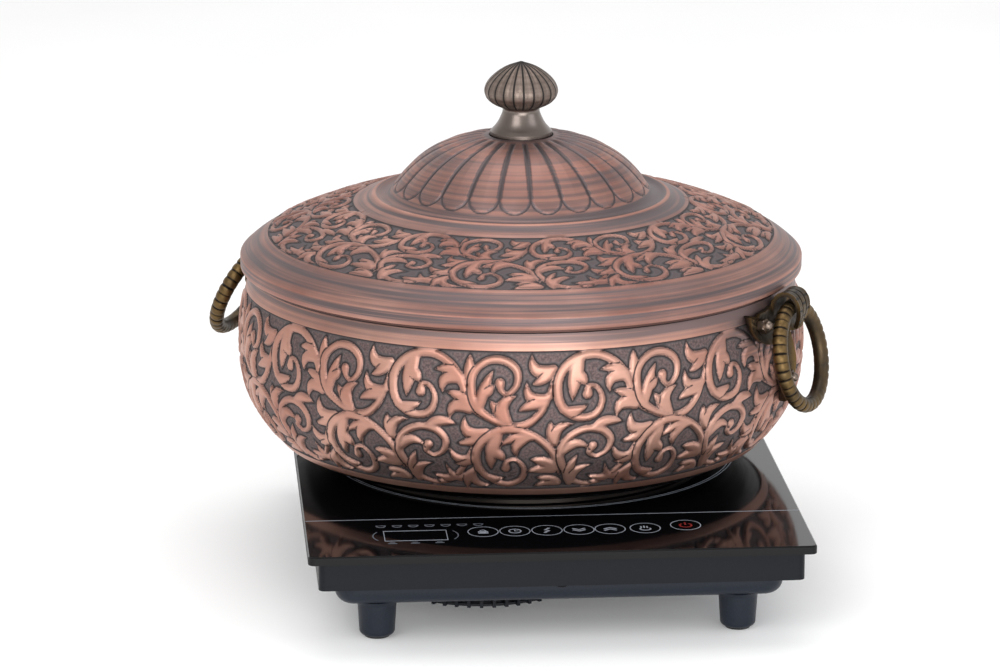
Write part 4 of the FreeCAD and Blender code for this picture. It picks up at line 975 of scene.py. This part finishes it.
# Other metals, glass and plastic
nut_metal = mottled("machined_pale_bronze", "#96877c", "#6f6259", 3.0, 0.3, 0.42, metallic=1.0)
steel = spun_steel("spun_stainless_steel", "#8d8781", "#bdb7b0")
neck_metal = mottled("turned_grey_bronze", "#7d736d", "#6a605a", 25.0, 0.26, 0.34, metallic=1.0)
# The disc under the pot is dark steel
disc_metal = spun_steel("dark_spun_steel_disc", "#2c2826", "#47423e")
black_steel = mottled("blackened_steel_screw", "#2a2a2c", "#1b1b1d", 2.0, 0.4, 0.5, metallic=1.0)
# The pan's rim and underside are painted dark as shade
pan_metal = spun_steel("spun_steel_with_painted_shade", "#918b85", "#c0bab3",
                       (GLASS_Z + 116.0, 160.0, "#5a4440"), "#2b2422")
glass = black_glass("polished_black_glass_ceramic")
plastic = mottled("moulded_charcoal_abs", "#0c1017", "#080b11", 1.2, 0.36, 0.48, 0.06, specular_ior_level=0.2)
tray_plastic = mottled("moulded_slate_abs", "#1d232e", "#171c25", 1.2, 0.34, 0.46, 0.06,
                       specular_ior_level=0.25)
rubber = mottled("moulded_black_rubber", "#242424", "#181818", 1.0, 0.7, 0.85, 0.05)

# Inks of the marks on the glass
ink = mottled("silver_screen_print", "#a4abb5", "#868e99", 0.8, 0.35, 0.5)
faint_ink = mottled("grey_screen_print", "#646b74", "#51575f", 0.8, 0.4, 0.55)
red_ink = mottled("red_screen_print", "#8a1b17", "#6f1310", 0.8, 0.35, 0.5)

# The finish of each of the record's slots, and of the nodes that differ from their slot
SLOT_FINISH = {
    "copper_wire": mottled("enamelled_copper_wire", "#b0622f", "#8a4820", 1.5, 0.25, 0.4, metallic=0.9),
    "ferrite": mottled("fired_ferrite", "#3d3d40", "#2b2b2e", 2.0, 0.6, 0.8, 0.05),
    "mica": mottled("pressed_mica_sheet", "#cbbf9f", "#b2a480", 4.0, 0.5, 0.7),
    "circuit_board": mottled("green_solder_resist", "#1f6b3c", "#17542e", 6.0, 0.3, 0.45),
    "aluminium": mottled("extruded_aluminium", "#cfd1d3", "#b4b7ba", 1.5, 0.3, 0.45, metallic=1.0),
    "component_plastic": mottled("moulded_component_plastic", "#29303d", "#1e242e", 1.5, 0.25, 0.4),
    "rubber": rubber, "steel": steel, "dark_plastic": plastic, "black_glass": glass,
    "antique_brass": brass, "antique_copper": copper,
}
NODE_FINISH = {
    "knob_base": neck_metal, "lower_housing": tray_plastic, "feet": tray_plastic,
    "housing_screws": black_steel, "foot_screws": black_steel, "base_disc": disc_metal,
    "inner_pot": pan_metal, "right_bracket_nuts": nut_metal, "left_bracket_nuts": nut_metal,
}


def dress_cad_nodes():
    """Every node of the frame that stays in view takes the finish of its slot or its own."""
    slots = {s["node"]: s["material_slot"] for s in frame["record"]["subparts"]}
    for name, node in frame["nodes"].items():
        node.data.materials.clear()
        node.data.materials.append(NODE_FINISH.get(name, SLOT_FINISH[slots[name]]))


# Stage, light and camera

def make_stage():
    bpy.ops.mesh.primitive_plane_add(size=12.0, location=(0, 2.0, 0))
    floor = bpy.context.active_object
    floor.name = "studio_floor"
    paper = mottled("white_paper_sweep", "#f6f6f6", "#f1f1f1", 400.0, 0.8, 0.9, emission_strength=0.1)
    floor.data.materials.append(paper)


def aim(thing, place, target):
    bpy.context.scene.collection.objects.link(thing)
    thing.location = place
    thing.rotation_euler = (Vector(target) - Vector(place)).to_track_quat("-Z", "Y").to_euler()


def area_light(name, place, target, size, power, tint="#ffffff"):
    data = bpy.data.lights.new(name, "AREA")
    data.energy, data.size, data.color = power, size, colour(tint)[:3]
    aim(bpy.data.objects.new(name, data), place, target)


def make_lights():
    world = bpy.data.worlds.new("white_room")
    world.use_nodes = True
    node = partial(add, world.node_tree)
    # The wall behind is brighter than the rest of the room, up to about a third of the way to the ceiling
    way = node("SeparateXYZ", {0: node("TexCoord")["Generated"]})
    behind = ramp(node, way[1], 0.1, 0.7)
    upper = ramp(node, way[2], 0.65, 0.35)
    wall = node("Math", {0: behind, 1: upper}, operation="MULTIPLY")[0]
    strength = ramp(node, wall, start=0.68, end=1.1)
    plug(world.node_tree.nodes["Background"], {"Color": colour("#ffffff"), "Strength": strength})
    bpy.context.scene.world = world
    bpy.context.scene.view_settings.view_transform = "Standard"
    middle = (0.0, 0.0, 0.15)
    area_light("front_softbox", (-1.3, -2.0, 1.9), middle, 1.6, 27.0)
    area_light("right_softbox", (1.9, -1.0, 1.3), middle, 1.3, 9.0, "#f6f9ff")
    area_light("top_softbox", (0.1, 0.5, 2.4), middle, 1.8, 18.0)
    area_light("low_front_fill", (0.2, -2.4, 0.2), (0.0, 0.0, 0.1), 1.8, 46.0)


def make_camera():
    data = bpy.data.cameras.new("photo_view")
    data.lens, data.sensor_width = CAMERA_LENS, CAMERA_SENSOR
    camera = bpy.data.objects.new("photo_view", data)
    aim(camera, CAMERA_PLACE, CAMERA_TARGET)
    bpy.context.scene.camera = camera


dress_cad_nodes()
finish_piece(make_jacket(), "pot", "antique_copper", copper, "pot_jacket")
finish_piece(make_lid(), "lid", "antique_copper", lid_copper, "lid_shell")
finish_piece(make_knob_head(), "lid", "antique_copper", bronze, "knob_head")
for side_name in ("right", "left"):
    finish_piece(make_ring(side_name), side_name + "_ring", "antique_brass", brass, side_name + "_ring")
    finish_piece(make_bracket(side_name), "pot", "antique_brass", brass, side_name + "_bracket")
make_print("panel_print", panel_lines(), ink)
make_print("setting_marks", small_marks(), faint_ink)
make_print("zone_ring", zone_lines(), ink)
make_print("power_mark", power_lines(), red_ink)
make_stage()
make_lights()
make_camera()
